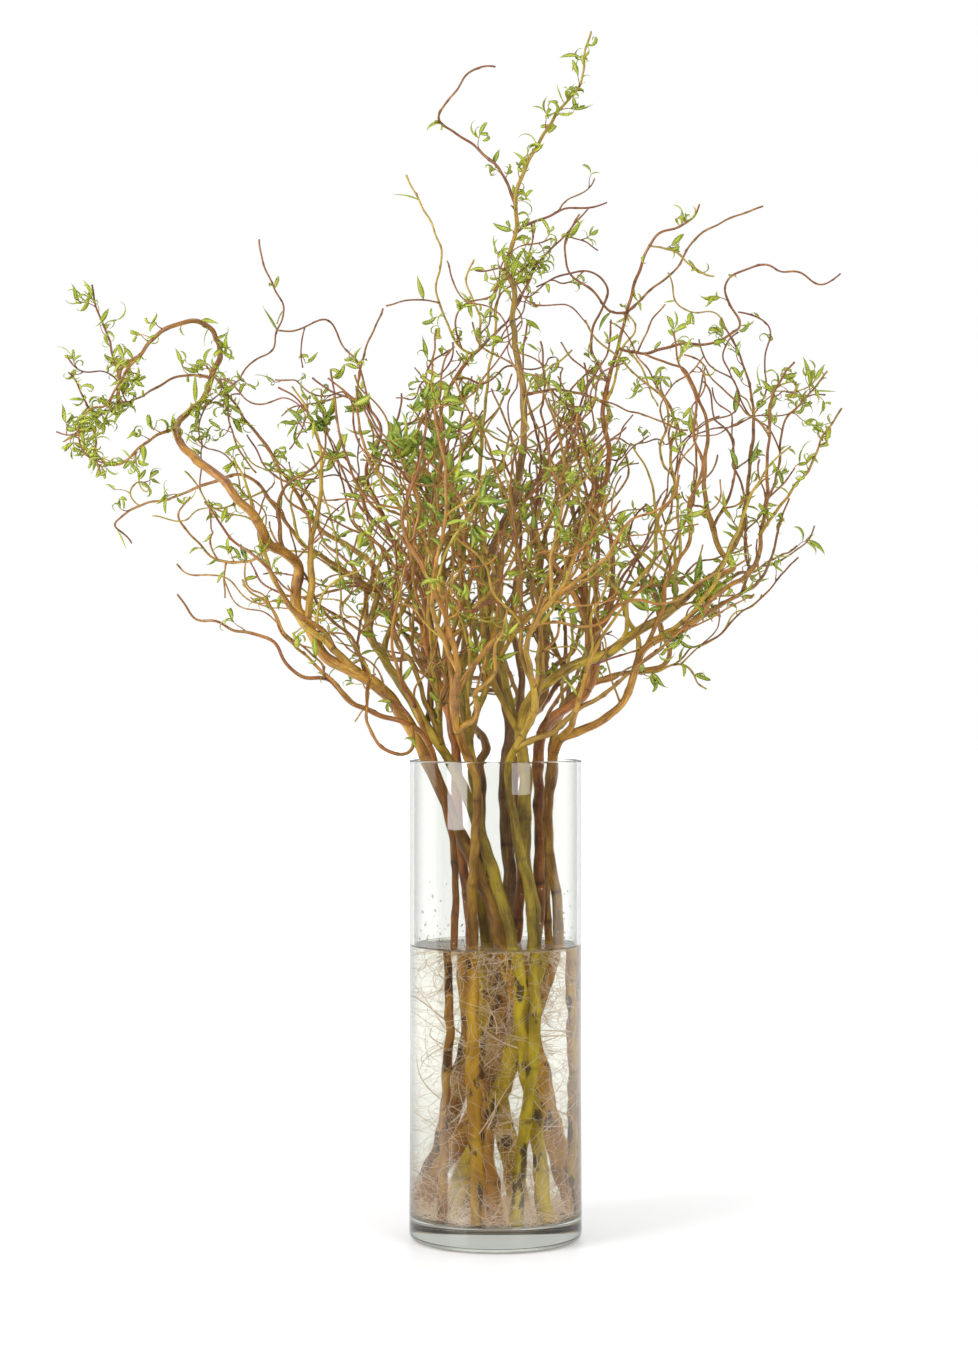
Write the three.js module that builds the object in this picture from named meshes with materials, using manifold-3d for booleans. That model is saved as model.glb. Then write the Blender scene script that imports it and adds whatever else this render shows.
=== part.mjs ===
// Curly willow stems, in leaf and rooting in water, in a tall clear glass cylinder vase.
// Millimetres, with +Z up. From the front, +X is to the right and +Y goes away from the viewer.
// The origin is the middle of the vase's flat foot.

import * as THREE from "three";
import { mergeVertices } from "three/addons/utils/BufferGeometryUtils.js";
import Module from "manifold-3d";

const wasm = await Module();
wasm.setup();

// Driving dimensions
const VASE = {
  radius: 75, height: 415, wall: 4, floor: 20, footRound: 6, floorRound: 5, rimRound: 1.5, sides: 32,
};
const BORE = VASE.radius - VASE.wall;
const WATER_LEVEL = 254;
const GAP = 0.3; // between solids that touch on the real thing

// The routes are read from the front: where the eye is, from the vase's axis and above its foot
const EYE = { x: -6, distance: 2380, z: 473 };

// Above the rim the routes open out in depth: shallow ones the most, over this height, up to this depth
const DEPTH = { gain: 2.2, over: 150, limit: 150, branches: 2.6 };

// Wood: the step along a route, the radius at its tip, the sides of its section and its clearance
const WOOD = {
  stem: { step: 32, tip: 0.9, sides: 5, room: 2.2 },
  branch: { step: 24, tip: 0.8, sides: 3, room: 1.8 },
  bough: { step: 32, tip: 0.8, sides: 3, room: 1.6 },
  twig: { step: 19, tip: 0.7, sides: 3, room: 1.2 },
  root: { step: 24, tip: 0.6, sides: 3, room: 1.2 },
};
const VASE_STEP = 0.42; // a stem's steps in the vase are longer by this share
const CURVE_DIVISIONS = 8;
const THINNING = 1.2; // the power by which a stem thins along its length

// A corkscrew wave laid over every stem
const WAVE = { inVase: 1.6, length: 150 };

// Stems are bent clear of each other in this many rounds, each mending this share of what is short. A point
// moves by its own part of the shift and by part of those beside it, and stays this far off the glass.
const BENDING = { rounds: 90, share: 0.6, own: 0.7, beside: 0.25, offGlass: 1 };

// Shoots that aren't listed stay in this envelope, and above the rim by this much
const CROWN = { centre: [-10, 0, 655], radii: [275, 240, 235], low: 22 };
const BOUGH = { length: [170, 320], radius: 3.4, curl: 0.26, lift: 0.06, tries: 24 };
const BOUGHS_LEAVE = { from: 420, to: 570 };
const TWIG = { length: [32, 70], radius: 0.95, curl: 0.3, lift: 0.04, tries: 10 };
const TWIGS_LEAVE = { from: 460, to: 900 };
const ROOT = { count: 2, length: [50, 110], radius: 0.9, curl: 0.35, lift: -0.12, tries: 14 };
const ROOTS_LEAVE = { from: 60, to: 225 };
const ROOT_ROOM = { wall: 4, floor: 4, surface: 8 };
const SLIMMER = 0.8; // a shoot is no thicker than this share of the wood that it grows from
const LEAN = { bough: 2, twig: 0.5, root: 0.5, leaf: 0.9 }; // along the wood that each leaves
const TURN = { least: 0.5, most: 1.1 }; // how far a curl turns at each step, in radians

// A leaf: its sizes, how it curls, and its outline: places along its rib and the share of its width there
const LEAF = {
  perStem: 7, length: [19, 31], width: [3.6, 5.4], thickness: 1, tries: 8,
  at: [0, 0.3, 0.68, 1], outline: [0.5, 1, 0.8, 0.1], curl: [-0.3, 0.7],
};

const SEED = 20231;
const COIL_PHASE = 2.4; // how far each stem's wave is turned from the one before it, in radians

const COLOURS = {
  golden: 0xb07a33, olive: 0x86762c, brown: 0x8a5a38, umber: 0x5f4638, glass: 0xe6efec, water: 0xdfe8e4,
};

// Every stem: its bark, its radius at the foot, and its points [x, y, z] from the foot up.
// Its branches start where their first point meets the stem, and their y is counted from there.
const STEMS = [
  {
    name: "stem_arching_left", bark: "golden", radius: 6.8, wave: 0, boughs: 3, twigs: 5,
    points: [
      [50, 16, 21], [2, -14, 262], [-23, -14, 332], [-43, -14, 382], [-58, -14, 415], [-75, -20, 448],
      [-92, -26, 470], [-116, -32, 489], [-137, -34, 497], [-152, -32, 508], [-159, -28, 526],
      [-172, -22, 542], [-174, -18, 562], [-170, -16, 580], [-180, -20, 593], [-196, -28, 602],
      [-205, -36, 618], [-213, -42, 632], [-226, -44, 643], [-236, -42, 657], [-252, -36, 670],
      [-267, -26, 682], [-277, -14, 697], [-276, -2, 710], [-263, 8, 720], [-252, 12, 733],
      [-247, 10, 748], [-240, 4, 766], [-243, -6, 783], [-253, -14, 794], [-268, -20, 797],
      [-286, -22, 791], [-300, -18, 779], [-312, -10, 765], [-326, -2, 755], [-328, 6, 738],
      [-329, 12, 722], [-346, 14, 716], [-353, 8, 706], [-347, 0, 696], [-349, -6, 680], [-343, -10, 664],
    ],
    branches: [
      {
        radius: 1.5,
        points: [
          [-277, 0, 706], [-289, -8, 700], [-302, -14, 693], [-315, -18, 681], [-329, -16, 671],
          [-343, -10, 675], [-350, -4, 688],
        ],
      },
      {
        radius: 1.4,
        points: [
          [-246, 0, 752], [-262, 10, 750], [-280, 16, 747], [-296, 14, 739], [-311, 6, 729],
          [-327, -4, 726],
        ],
      },
      {
        radius: 1.3,
        points: [
          [-328, 0, 750], [-334, 12, 772], [-340, 18, 790], [-347, 16, 808], [-352, 10, 828],
        ],
      },
      {
        radius: 1.3,
        points: [
          [-352, 0, 712], [-358, -12, 728], [-363, -18, 742], [-372, -20, 752],
        ],
      },
      {
        radius: 1.5,
        points: [
          [-190, 0, 598], [-215, 14, 588], [-245, 22, 589], [-256, 20, 602], [-270, 14, 615],
          [-276, 8, 630], [-266, 4, 644],
        ],
      },
    ],
  },
  {
    name: "stem_olive_left", bark: "olive", radius: 6.2, wave: 0, boughs: 4, twigs: 5,
    points: [
      [40, -40, 21], [13, -27, 265], [-5, -27, 328], [-24, -26, 376], [-42, -26, 415], [-60, -24, 441],
      [-76, -18, 468], [-92, -10, 495], [-107, 0, 518], [-109, 10, 536], [-103, 18, 556], [-100, 24, 573],
      [-112, 28, 590], [-131, 30, 603], [-150, 30, 613], [-163, 28, 629], [-175, 24, 650],
      [-188, 20, 669], [-203, 18, 693], [-216, 20, 709], [-229, 24, 727], [-241, 28, 745],
      [-252, 30, 757],
    ],
    branches: [
      {
        radius: 2.6,
        points: [
          [-102, 0, 572], [-125, -8, 575], [-150, -14, 591], [-172, -18, 607], [-190, -22, 633],
          [-203, -26, 651], [-222, -28, 664], [-250, -26, 655], [-285, -20, 642], [-307, -14, 637],
          [-320, -10, 631], [-333, -6, 619], [-321, -2, 611], [-317, 2, 603],
        ],
      },
      {
        radius: 1.6,
        points: [
          [-232, 0, 731], [-222, 10, 748], [-210, 16, 763], [-195, 18, 770], [-190, 14, 788],
          [-184, 8, 805], [-190, 2, 822], [-198, -2, 836], [-204, -4, 851], [-205, -4, 868],
        ],
      },
      {
        radius: 1.3,
        points: [
          [-229, 0, 727], [-232, -10, 714], [-229, -14, 698], [-222, -14, 682], [-208, -10, 665],
        ],
      },
    ],
  },
  {
    name: "stem_low_left", bark: "brown", radius: 3.9, wave: 0, boughs: 2, twigs: 3,
    points: [
      [-42, -36, 21], [-34, -24, 262], [-37, -26, 330], [-52, -34, 415], [-61, -42, 433], [-76, -50, 447],
      [-96, -56, 452], [-116, -62, 460], [-131, -66, 469], [-144, -68, 485], [-165, -68, 486],
      [-184, -66, 500], [-190, -62, 515], [-203, -58, 523], [-217, -56, 527], [-228, -54, 526],
      [-240, -50, 535], [-262, -46, 537], [-268, -44, 547], [-277, -42, 559],
    ],
    branches: [
      {
        radius: 1.6,
        points: [
          [-66, 0, 438], [-71, -6, 424], [-88, -10, 419], [-103, -12, 431], [-113, -10, 449],
          [-112, -6, 470], [-114, 0, 490], [-121, 6, 508], [-118, 12, 535], [-112, 16, 556],
          [-126, 22, 585], [-120, 26, 610],
        ],
      },
      {
        radius: 1.2,
        points: [
          [-144, 0, 485], [-152, -10, 500], [-165, -14, 512], [-178, -12, 520], [-188, -8, 528],
        ],
      },
    ],
  },
  {
    name: "stem_upper_left", bark: "brown", radius: 5.8, wave: 3, boughs: 5, twigs: 5,
    points: [
      [2, -34, 21], [-22, 2, 265], [-30, 6, 340], [-36, 12, 415], [-42, 22, 452], [-50, 34, 490],
      [-61, 44, 527], [-76, 50, 562], [-88, 48, 600], [-100, 40, 638], [-112, 32, 668], [-100, 28, 697],
      [-117, 30, 724], [-145, 34, 735], [-160, 36, 748],
    ],
    branches: [
      {
        radius: 1.8,
        points: [
          [-118, 0, 725], [-117, 4, 752], [-124, 8, 767], [-135, 10, 777], [-139, 8, 790], [-150, 4, 799],
          [-174, 0, 788], [-189, -2, 788],
        ],
      },
      {
        radius: 1.5,
        points: [
          [-90, 0, 606], [-113, 12, 628], [-128, 20, 655], [-140, 22, 682], [-150, 20, 712],
          [-152, 14, 738],
        ],
      },
      {
        radius: 1.6,
        points: [
          [-62, 0, 530], [-88, -16, 552], [-118, -26, 566], [-148, -30, 560], [-176, -30, 556],
          [-204, -28, 570], [-213, -24, 586],
        ],
      },
    ],
  },
  {
    name: "stem_left_of_centre", bark: "olive", radius: 5.8, wave: 4, boughs: 5, twigs: 4,
    points: [
      [14, 34, 21], [-8, 8, 265], [-14, 2, 340], [-20, -4, 415], [-22, -8, 450], [-34, -4, 484],
      [-30, 8, 522], [-44, 14, 560], [-50, 10, 600], [-53, 0, 640], [-50, -10, 680], [-44, -14, 726],
      [-27, -10, 753], [-9, 0, 776], [8, 12, 797], [18, 22, 820],
    ],
    branches: [
      {
        radius: 1.4,
        points: [
          [-12, 0, 772], [-23, -6, 768], [-36, -10, 781], [-46, -12, 804], [-52, -12, 829],
          [-46, -10, 855], [-52, -8, 873], [-62, -6, 893], [-78, -6, 924],
        ],
      },
      {
        radius: 1.5,
        points: [
          [-46, 0, 716], [-60, 8, 742], [-57, 14, 760], [-40, 16, 772],
        ],
      },
      {
        radius: 1.3,
        points: [
          [-6, 0, 780], [-14, 8, 800], [-21, 12, 820], [-27, 12, 832], [-19, 8, 850],
        ],
      },
    ],
  },
  {
    name: "stem_tall_centre", bark: "umber", radius: 6.7, wave: 0, boughs: 4, twigs: 5,
    points: [
      [-14, 4, 21], [14, 4, 265], [11, 6, 340], [10, 8, 415], [14, 12, 442], [8, 20, 472], [-2, 28, 502],
      [-5, 34, 532], [-10, 36, 562], [-6, 32, 590], [3, 24, 612], [14, 14, 636], [21, 6, 666],
      [25, 0, 702], [23, -2, 742], [17, 0, 776], [15, 6, 803], [17, 10, 822], [9, 10, 841], [15, 6, 865],
      [19, 0, 885], [17, -6, 905], [22, -10, 921], [31, -12, 940], [43, -10, 961], [56, -6, 981],
      [70, -2, 997], [77, 2, 1013], [78, 4, 1034], [83, 6, 1049],
    ],
    branches: [
      {
        radius: 1.8,
        points: [
          [17, 0, 903], [9, 4, 919], [-2, 8, 935], [-18, 10, 949], [-35, 10, 960], [-49, 8, 971],
          [-47, 4, 983], [-34, 0, 997], [-26, -2, 1010], [-12, -4, 1020], [0, -4, 1018],
        ],
      },
      {
        radius: 1.4,
        points: [
          [18, 0, 875], [30, 6, 882], [46, 10, 888], [62, 12, 895], [80, 12, 895], [97, 10, 900],
        ],
      },
      {
        radius: 1.6,
        points: [
          [24, 0, 722], [38, -10, 735], [60, -16, 737], [80, -16, 732], [98, -12, 722],
        ],
      },
    ],
  },
  {
    name: "stem_thick_right", bark: "olive", radius: 7.1, wave: 0, boughs: 4, twigs: 5,
    points: [
      [-34, -14, 21], [28, -8, 265], [25, -8, 340], [24, -9, 415], [22, -12, 440], [27, -16, 462],
      [36, -20, 475], [52, -26, 487], [72, -32, 499], [97, -36, 507], [117, -36, 523], [137, -32, 534],
      [158, -26, 549], [176, -18, 566], [195, -12, 574], [208, -6, 583], [196, -2, 595], [190, 0, 613],
      [184, 2, 636], [181, 4, 662], [185, 4, 699], [179, 2, 724], [171, -2, 743], [162, -6, 757],
      [146, -10, 761], [129, -12, 768],
    ],
    branches: [
      {
        radius: 3.6,
        points: [
          [23, 0, 444], [10, 8, 475], [3, 14, 505], [-6, 20, 540], [-13, 24, 575], [-9, 26, 606],
          [-16, 26, 640], [-13, 24, 680], [-10, 22, 716], [-6, 22, 750], [-1, 24, 784], [2, 28, 815],
          [7, 34, 838],
        ],
      },
      {
        radius: 2.2,
        points: [
          [158, 0, 549], [157, 16, 572], [155, 24, 596], [143, 28, 614], [138, 28, 640], [134, 24, 664],
          [120, 20, 686],
        ],
      },
      {
        radius: 1.4,
        points: [
          [189, 0, 615], [198, -10, 634], [206, -14, 652], [210, -14, 668], [204, -12, 680],
          [208, -8, 692], [201, -6, 704],
        ],
      },
    ],
  },
  {
    name: "stem_upper_right", bark: "brown", radius: 6.0, wave: 0, boughs: 5, twigs: 6,
    points: [
      [-50, 18, 21], [36, 14, 265], [37, 12, 340], [38, 8, 415], [40, 6, 441], [54, 8, 455],
      [72, 14, 466], [83, 22, 482], [88, 30, 504], [85, 36, 526], [79, 38, 550], [77, 36, 576],
      [80, 30, 602], [86, 22, 630], [97, 14, 660], [98, 8, 690], [93, 6, 716], [98, 8, 744],
      [106, 10, 772], [112, 8, 796], [118, 4, 818], [125, 0, 841], [132, -2, 859], [142, -4, 873],
      [159, -4, 879], [173, -2, 887], [178, 0, 898],
    ],
    branches: [
      {
        radius: 2.2,
        points: [
          [105, 0, 768], [128, -8, 768], [145, -12, 773], [166, -14, 777], [188, -14, 777],
          [203, -12, 784], [213, -8, 792], [206, -2, 809], [198, 2, 824], [204, 4, 836], [222, 4, 842],
          [238, 2, 848], [248, -2, 838], [261, -4, 841], [275, -4, 832], [287, -2, 828], [300, 0, 838],
        ],
      },
      {
        radius: 1.5,
        points: [
          [118, 0, 814], [133, 8, 822], [151, 12, 836], [165, 14, 854], [173, 12, 868], [188, 8, 879],
          [210, 4, 888], [233, 2, 897],
        ],
      },
      {
        radius: 1.4,
        points: [
          [98, 0, 744], [84, 8, 770], [86, 14, 796], [99, 18, 822], [88, 18, 838], [60, 16, 838],
          [36, 12, 826],
        ],
      },
      {
        radius: 1.4,
        points: [
          [112, 0, 796], [98, -8, 806], [82, -14, 826], [64, -16, 838], [60, -14, 862], [66, -12, 878],
          [73, -12, 890],
        ],
      },
      {
        radius: 1.3,
        points: [
          [131, 0, 857], [146, 8, 860], [160, 12, 856], [170, 12, 845], [180, 10, 837], [190, 8, 836],
        ],
      },
    ],
  },
  {
    name: "stem_low_right", bark: "golden", radius: 5.4, wave: 0, boughs: 3, twigs: 5,
    points: [
      [57, -6, 21], [54, -6, 265], [47, -10, 340], [50, -18, 415], [54, -24, 430], [64, -30, 438],
      [85, -36, 444], [103, -40, 457], [116, -42, 473], [121, -42, 492], [128, -42, 511], [142, -42, 520],
      [160, -42, 526], [178, -40, 540], [189, -36, 557], [207, -30, 568], [221, -22, 578],
      [230, -16, 593], [230, -12, 610], [236, -10, 634], [236, -12, 660], [238, -16, 698],
      [241, -18, 732], [250, -16, 749], [260, -12, 761],
    ],
    branches: [
      {
        radius: 1.6,
        points: [
          [236, 0, 636], [243, 10, 655], [247, 16, 676], [248, 18, 694], [253, 16, 712], [269, 10, 729],
          [280, 6, 741], [289, 4, 753],
        ],
      },
      {
        radius: 1.6,
        points: [
          [233, 0, 622], [249, -10, 638], [262, -16, 654], [273, -18, 668], [280, -16, 686],
          [290, -12, 704], [301, -10, 721],
        ],
      },
      {
        radius: 1.3,
        points: [
          [240, 0, 726], [246, 12, 740], [258, 16, 746], [262, 12, 738], [254, 8, 730],
        ],
      },
    ],
  },
  {
    name: "stem_right_of_centre", bark: "golden", radius: 4.7, wave: 0, boughs: 3, twigs: 4,
    points: [
      [38, 44, 21], [46, 30, 265], [45, 28, 340], [47, 27, 415], [52, 30, 440], [62, 36, 466],
      [84, 42, 482], [105, 44, 489], [125, 42, 492], [146, 38, 497], [153, 34, 508], [146, 30, 522],
      [141, 28, 541], [146, 30, 560], [152, 36, 584], [146, 44, 608], [153, 50, 634], [156, 52, 662],
    ],
    branches: [
      {
        radius: 1.5,
        points: [
          [120, 0, 491], [137, -12, 491], [152, -16, 497], [165, -16, 498], [173, -12, 488],
          [177, -8, 480], [183, -6, 476],
        ],
      },
      {
        radius: 1.7,
        points: [
          [154, 0, 650], [166, 6, 692], [188, 10, 703], [214, 10, 707], [229, 8, 721], [236, 6, 742],
          [234, 4, 768], [240, 4, 789], [231, 4, 800], [211, 4, 804],
        ],
      },
      {
        radius: 1.6,
        points: [
          [156, 0, 660], [163, -6, 692], [187, -8, 710], [208, -8, 716], [212, -6, 736], [204, -4, 751],
          [197, -2, 766], [201, 0, 778], [211, 2, 787],
        ],
      },
    ],
  },
  {
    name: "stem_back_right", bark: "brown", radius: 5.4, wave: 12, boughs: 5, twigs: 3,
    points: [
      [-22, 50, 21], [20, 26, 265], [20, 36, 340], [18, 45, 415], [30, 66, 470], [44, 99, 530],
      [62, 126, 590], [58, 148, 650], [78, 165, 705], [66, 178, 760],
    ],
    branches: [],
  },
  {
    name: "stem_back_left", bark: "umber", radius: 5.4, wave: 12, boughs: 5, twigs: 3,
    points: [
      [-38, 36, 21], [-4, 28, 265], [-10, 36, 340], [-16, 44, 415], [-36, 64, 470], [-62, 94, 530],
      [-76, 123, 585], [-104, 144, 640], [-104, 165, 690], [-84, 173, 735],
    ],
    branches: [],
  },
  {
    name: "stem_front_left", bark: "golden", radius: 5.4, wave: 11, boughs: 5, twigs: 3,
    points: [
      [-14, -56, 21], [-18, -18, 265], [-18, -34, 340], [-16, -47, 415], [-32, -66, 470], [-50, -94, 525],
      [-52, -123, 580], [-78, -144, 630], [-76, -165, 680], [-56, -178, 728],
    ],
    branches: [],
  },
  {
    name: "stem_front_right", bark: "olive", radius: 5.2, wave: 11, boughs: 5, twigs: 3,
    points: [
      [16, -55, 21], [30, -30, 265], [20, -36, 340], [12, -44, 415], [24, -64, 465], [36, -92, 515],
      [62, -118, 565], [62, -141, 615], [88, -156, 660], [80, -173, 715],
    ],
    branches: [],
  },
];

const UP = new THREE.Vector3(0, 0, 1);
const RISE = VASE.height + CROWN.low;

// Seeded draws, the same on every run
function seeded(seed) {
  let state = seed >>> 0;
  return () => {
    state = (Math.imul(state, 1664525) + 1013904223) >>> 0;
    return state / 4294967296;
  };
}

const between = (random, [low, high]) => low + (high - low) * random();

// A point read from the front, moved along its line of sight to its real depth
function fromFront([x, y, z]) {
  const scale = (EYE.distance + y) / EYE.distance;
  return new THREE.Vector3(EYE.x + (x - EYE.x) * scale, y, EYE.z + (z - EYE.z) * scale);
}

// The same for a stem, whose depth opens out above the rim
function openedOut([x, y, z]) {
  const risen = THREE.MathUtils.clamp((z - VASE.height) / DEPTH.over, 0, 1);
  const shallow = Math.max(0, 1 - Math.abs(y) / DEPTH.limit);
  return fromFront([x, y * (1 + DEPTH.gain * risen * shallow), z]);
}

// Where a real point shows when it is read from the front
function seenFromFront(point) {
  const scale = EYE.distance / (EYE.distance + point.y);
  return [EYE.x + (point.x - EYE.x) * scale, EYE.z + (point.z - EYE.z) * scale];
}

// Points at even steps along a smooth curve, with longer steps below the rim
function spaced(points, step) {
  const fine = new THREE.CatmullRomCurve3(points).getPoints((points.length - 1) * CURVE_DIVISIONS);
  const run = [0];
  for (let i = 1; i < fine.length; i += 1) {
    const share = fine[i].z < VASE.height ? VASE_STEP : 1;
    run.push(run[i - 1] + share * fine[i].distanceTo(fine[i - 1]));
  }
  const total = run[run.length - 1];
  const count = Math.max(2, Math.round(total / step));
  const result = [fine[0].clone()];
  let at = 1;
  for (let k = 1; k < count; k += 1) {
    const goal = (total * k) / count;
    while (run[at] < goal) at += 1;
    result.push(fine[at - 1].clone().lerp(fine[at], (goal - run[at - 1]) / (run[at] - run[at - 1])));
  }
  result.push(fine[fine.length - 1].clone());
  return result;
}

// A length of wood: its points, and a radius at each that thins from the base to the tip
function wood(owner, kind, points, radius) {
  const tip = WOOD[kind].tip;
  const last = points.length - 1;
  const radii = points.map((_, i) => tip + (radius - tip) * (1 - i / last) ** THINNING);
  return { owner, kind, points, radii };
}

function addWave(points, index, above) {
  const phase = index * COIL_PHASE;
  return points.map((point, i) => {
    const size = point.z < VASE.height ? WAVE.inVase : above;
    const fade = Math.min(1, i / 2);
    const angle = phase + (2 * Math.PI * point.z) / WAVE.length;
    return new THREE.Vector3(
      point.x + size * fade * Math.cos(angle),
      point.y + size * fade * Math.sin(angle),
      point.z,
    );
  });
}

// The nearest points of two segments, as fractions along them
function nearest(a, b, c, d) {
  const u = b.clone().sub(a);
  const v = d.clone().sub(c);
  const w = a.clone().sub(c);
  const uu = u.dot(u);
  const vv = v.dot(v);
  const uv = u.dot(v);
  const uw = u.dot(w);
  const vw = v.dot(w);
  const clamp = THREE.MathUtils.clamp;
  const spread = uu * vv - uv * uv;
  let s = spread > 1e-9 ? clamp((uv * vw - vv * uw) / spread, 0, 1) : 0;
  const t = clamp((uv * s + vw) / vv, 0, 1);
  s = clamp((uv * t - uw) / uu, 0, 1);
  const from = a.clone().addScaledVector(u, s);
  const to = c.clone().addScaledVector(v, t);
  return { s, t, apart: from.sub(to) };
}

// Every segment of some wood, with its ends, radius and reach
function segmentsOf(lengths) {
  const segments = [];
  for (const length of lengths) {
    for (let i = 0; i + 1 < length.points.length; i += 1) {
      const a = length.points[i];
      const b = length.points[i + 1];
      segments.push({
        length, i, a, b,
        radius: Math.max(length.radii[i], length.radii[i + 1]),
        middle: a.clone().lerp(b, 0.5),
        reach: a.distanceTo(b) / 2,
      });
    }
  }
  return segments;
}

// How much two segments lack of the clearance between them, with the direction to mend it
function shortfall(one, other, room) {
  const need = one.radius + other.radius + room;
  const far = need + one.reach + other.reach;
  if (one.middle.distanceToSquared(other.middle) > far * far) return null;
  const near = nearest(one.a, one.b, other.a, other.b);
  const distance = near.apart.length();
  if (distance >= need) return null;
  const away = distance > 1e-6 ? near.apart.divideScalar(distance) : new THREE.Vector3(0, 1, 0);
  return { ...near, away, lack: need - distance };
}

// Keeps a point of a stem inside the vase's bore, and off the round of its floor
function keepInBore(point, radius) {
  if (point.z > VASE.height + radius) return;
  const low = point.z < VASE.floor + 2 * VASE.floorRound;
  const limit = BORE - radius - BENDING.offGlass - (low ? VASE.floorRound : 0);
  const out = Math.hypot(point.x, point.y);
  if (out <= limit) return;
  point.x *= limit / out;
  point.y *= limit / out;
}

// Bends wood clear of the wood of other stems, and of what is fixed already
function bendClear(moving, fixed, room) {
  for (let round = 0; round < BENDING.rounds; round += 1) {
    const own = segmentsOf(moving);
    const all = own.concat(segmentsOf(fixed));
    const shifts = new Map(moving.map((length) => [length, length.points.map(() => new THREE.Vector3())]));
    let short = 0;
    for (let i = 0; i < own.length; i += 1) {
      for (let j = i + 1; j < all.length; j += 1) {
        if (own[i].length.owner === all[j].length.owner) continue;
        const found = shortfall(own[i], all[j], room);
        if (!found) continue;
        short += 1;
        const both = j < own.length;
        const push = found.lack * BENDING.share * (both ? 0.5 : 1);
        const mine = shifts.get(own[i].length);
        mine[own[i].i].addScaledVector(found.away, push * (1 - found.s));
        mine[own[i].i + 1].addScaledVector(found.away, push * found.s);
        if (!both) continue;
        const theirs = shifts.get(all[j].length);
        theirs[all[j].i].addScaledVector(found.away, -push * (1 - found.t));
        theirs[all[j].i + 1].addScaledVector(found.away, -push * found.t);
      }
    }
    if (short === 0) return;
    for (const [length, shift] of shifts) {
      const rooted = length.kind !== "stem";
      const last = shift.length - 1;
      length.points.forEach((point, i) => {
        if (i === 0 && rooted) return;
        const before = shift[Math.max(0, i - 1)];
        const after = shift[Math.min(last, i + 1)];
        const height = point.z;
        point.addScaledVector(shift[i], BENDING.own)
          .addScaledVector(before, BENDING.beside)
          .addScaledVector(after, BENDING.beside);
        if (i === 0) point.z = height;
        if (length.kind === "stem") keepInBore(point, length.radii[i]);
      });
    }
  }
}

// True where a length of wood keeps clear of all the wood and leaves of other stems
function isClear(length, others, room) {
  for (const segment of segmentsOf([length])) {
    for (const other of others) {
      if (other.length.owner !== length.owner && shortfall(segment, other, room)) return false;
    }
  }
  return true;
}

// A curling run of points from a start and a heading
function wander(start, heading, count, step, curl, lift, random) {
  const points = [start.clone()];
  const direction = heading.clone().normalize();
  const turn = between(random, [TURN.least, TURN.most]) * (random() < 0.5 ? -1 : 1);
  let phase = 2 * Math.PI * random();
  for (let i = 0; i < count; i += 1) {
    const side = new THREE.Vector3().crossVectors(direction, UP).normalize();
    const other = new THREE.Vector3().crossVectors(direction, side);
    direction.addScaledVector(side, curl * Math.cos(phase)).addScaledVector(other, curl * Math.sin(phase));
    direction.z += lift;
    direction.normalize();
    points.push(points[i].clone().addScaledVector(direction, step));
    phase += turn;
  }
  return points;
}

// A heading that leaves the wood at a host point sideways, turned about it by an angle
function leaving(host, angle, lean) {
  const side = new THREE.Vector3().crossVectors(host.direction, UP).normalize();
  const other = new THREE.Vector3().crossVectors(side, host.direction).normalize();
  return host.direction.clone().multiplyScalar(lean)
    .addScaledVector(side, Math.cos(angle))
    .addScaledVector(other, Math.sin(angle))
    .normalize();
}

// Points on some wood where a shoot, root or leaf can start
function hostsOn(lengths, low, high) {
  const hosts = [];
  for (const length of lengths) {
    for (let i = 1; i + 1 < length.points.length; i += 1) {
      const point = length.points[i];
      if (point.z < low || point.z > high) continue;
      const direction = length.points[i + 1].clone().sub(length.points[i - 1]).normalize();
      hosts.push({ point, direction, radius: length.radii[i] });
    }
  }
  return hosts;
}

function inCrown(points) {
  return points.every((point) => {
    const [x, y, z] = point.toArray().map((value, i) => (value - CROWN.centre[i]) / CROWN.radii[i]);
    return x * x + y * y + z * z < 1 && point.z > RISE;
  });
}

function inWater(points) {
  return points.every((point) => (
    Math.hypot(point.x, point.y) < BORE - ROOT_ROOM.wall
    && point.z > VASE.floor + ROOT_ROOM.floor
    && point.z < WATER_LEVEL - ROOT_ROOM.surface
  ));
}

// Shoots or roots of one kind, spread over the hosts, each drawn again until it is clear
function grow(owner, kind, spec, count, hosts, placed, allowed, random) {
  const grown = [];
  const step = WOOD[kind].step;
  for (let n = 0; n < count && hosts.length > 0; n += 1) {
    for (let attempt = 0; attempt < spec.tries; attempt += 1) {
      const host = hosts[Math.floor(((n + random()) / count) * hosts.length)];
      const heading = leaving(host, 2 * Math.PI * random(), LEAN[kind]);
      const steps = Math.max(2, Math.round(between(random, spec.length) / step));
      const points = wander(host.point, heading, steps, step, spec.curl, spec.lift, random);
      const shoot = wood(owner, kind, points, Math.min(spec.radius, host.radius * SLIMMER));
      if (!allowed(points.slice(1)) || !isClear(shoot, placed, WOOD[kind].room)) continue;
      grown.push(shoot);
      placed.push(...segmentsOf([shoot]));
      break;
    }
  }
  return grown;
}

// One leaf: the points of its rib, curled over, and half its width at each
function leafAt(owner, host, random) {
  const size = between(random, LEAF.length);
  const heading = leaving(host, 2 * Math.PI * random(), LEAN.leaf);
  const side = new THREE.Vector3().crossVectors(heading, UP).normalize();
  const over = new THREE.Vector3().crossVectors(side, heading).normalize();
  const curl = between(random, LEAF.curl);
  const half = between(random, LEAF.width) / 2;
  const points = LEAF.at.map((share) => (
    host.point.clone()
      .addScaledVector(heading, size * share)
      .addScaledVector(over, -size * curl * share * share)
  ));
  return { owner, kind: "leaf", points, radii: LEAF.outline.map((share) => half * share), side, over };
}

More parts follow.
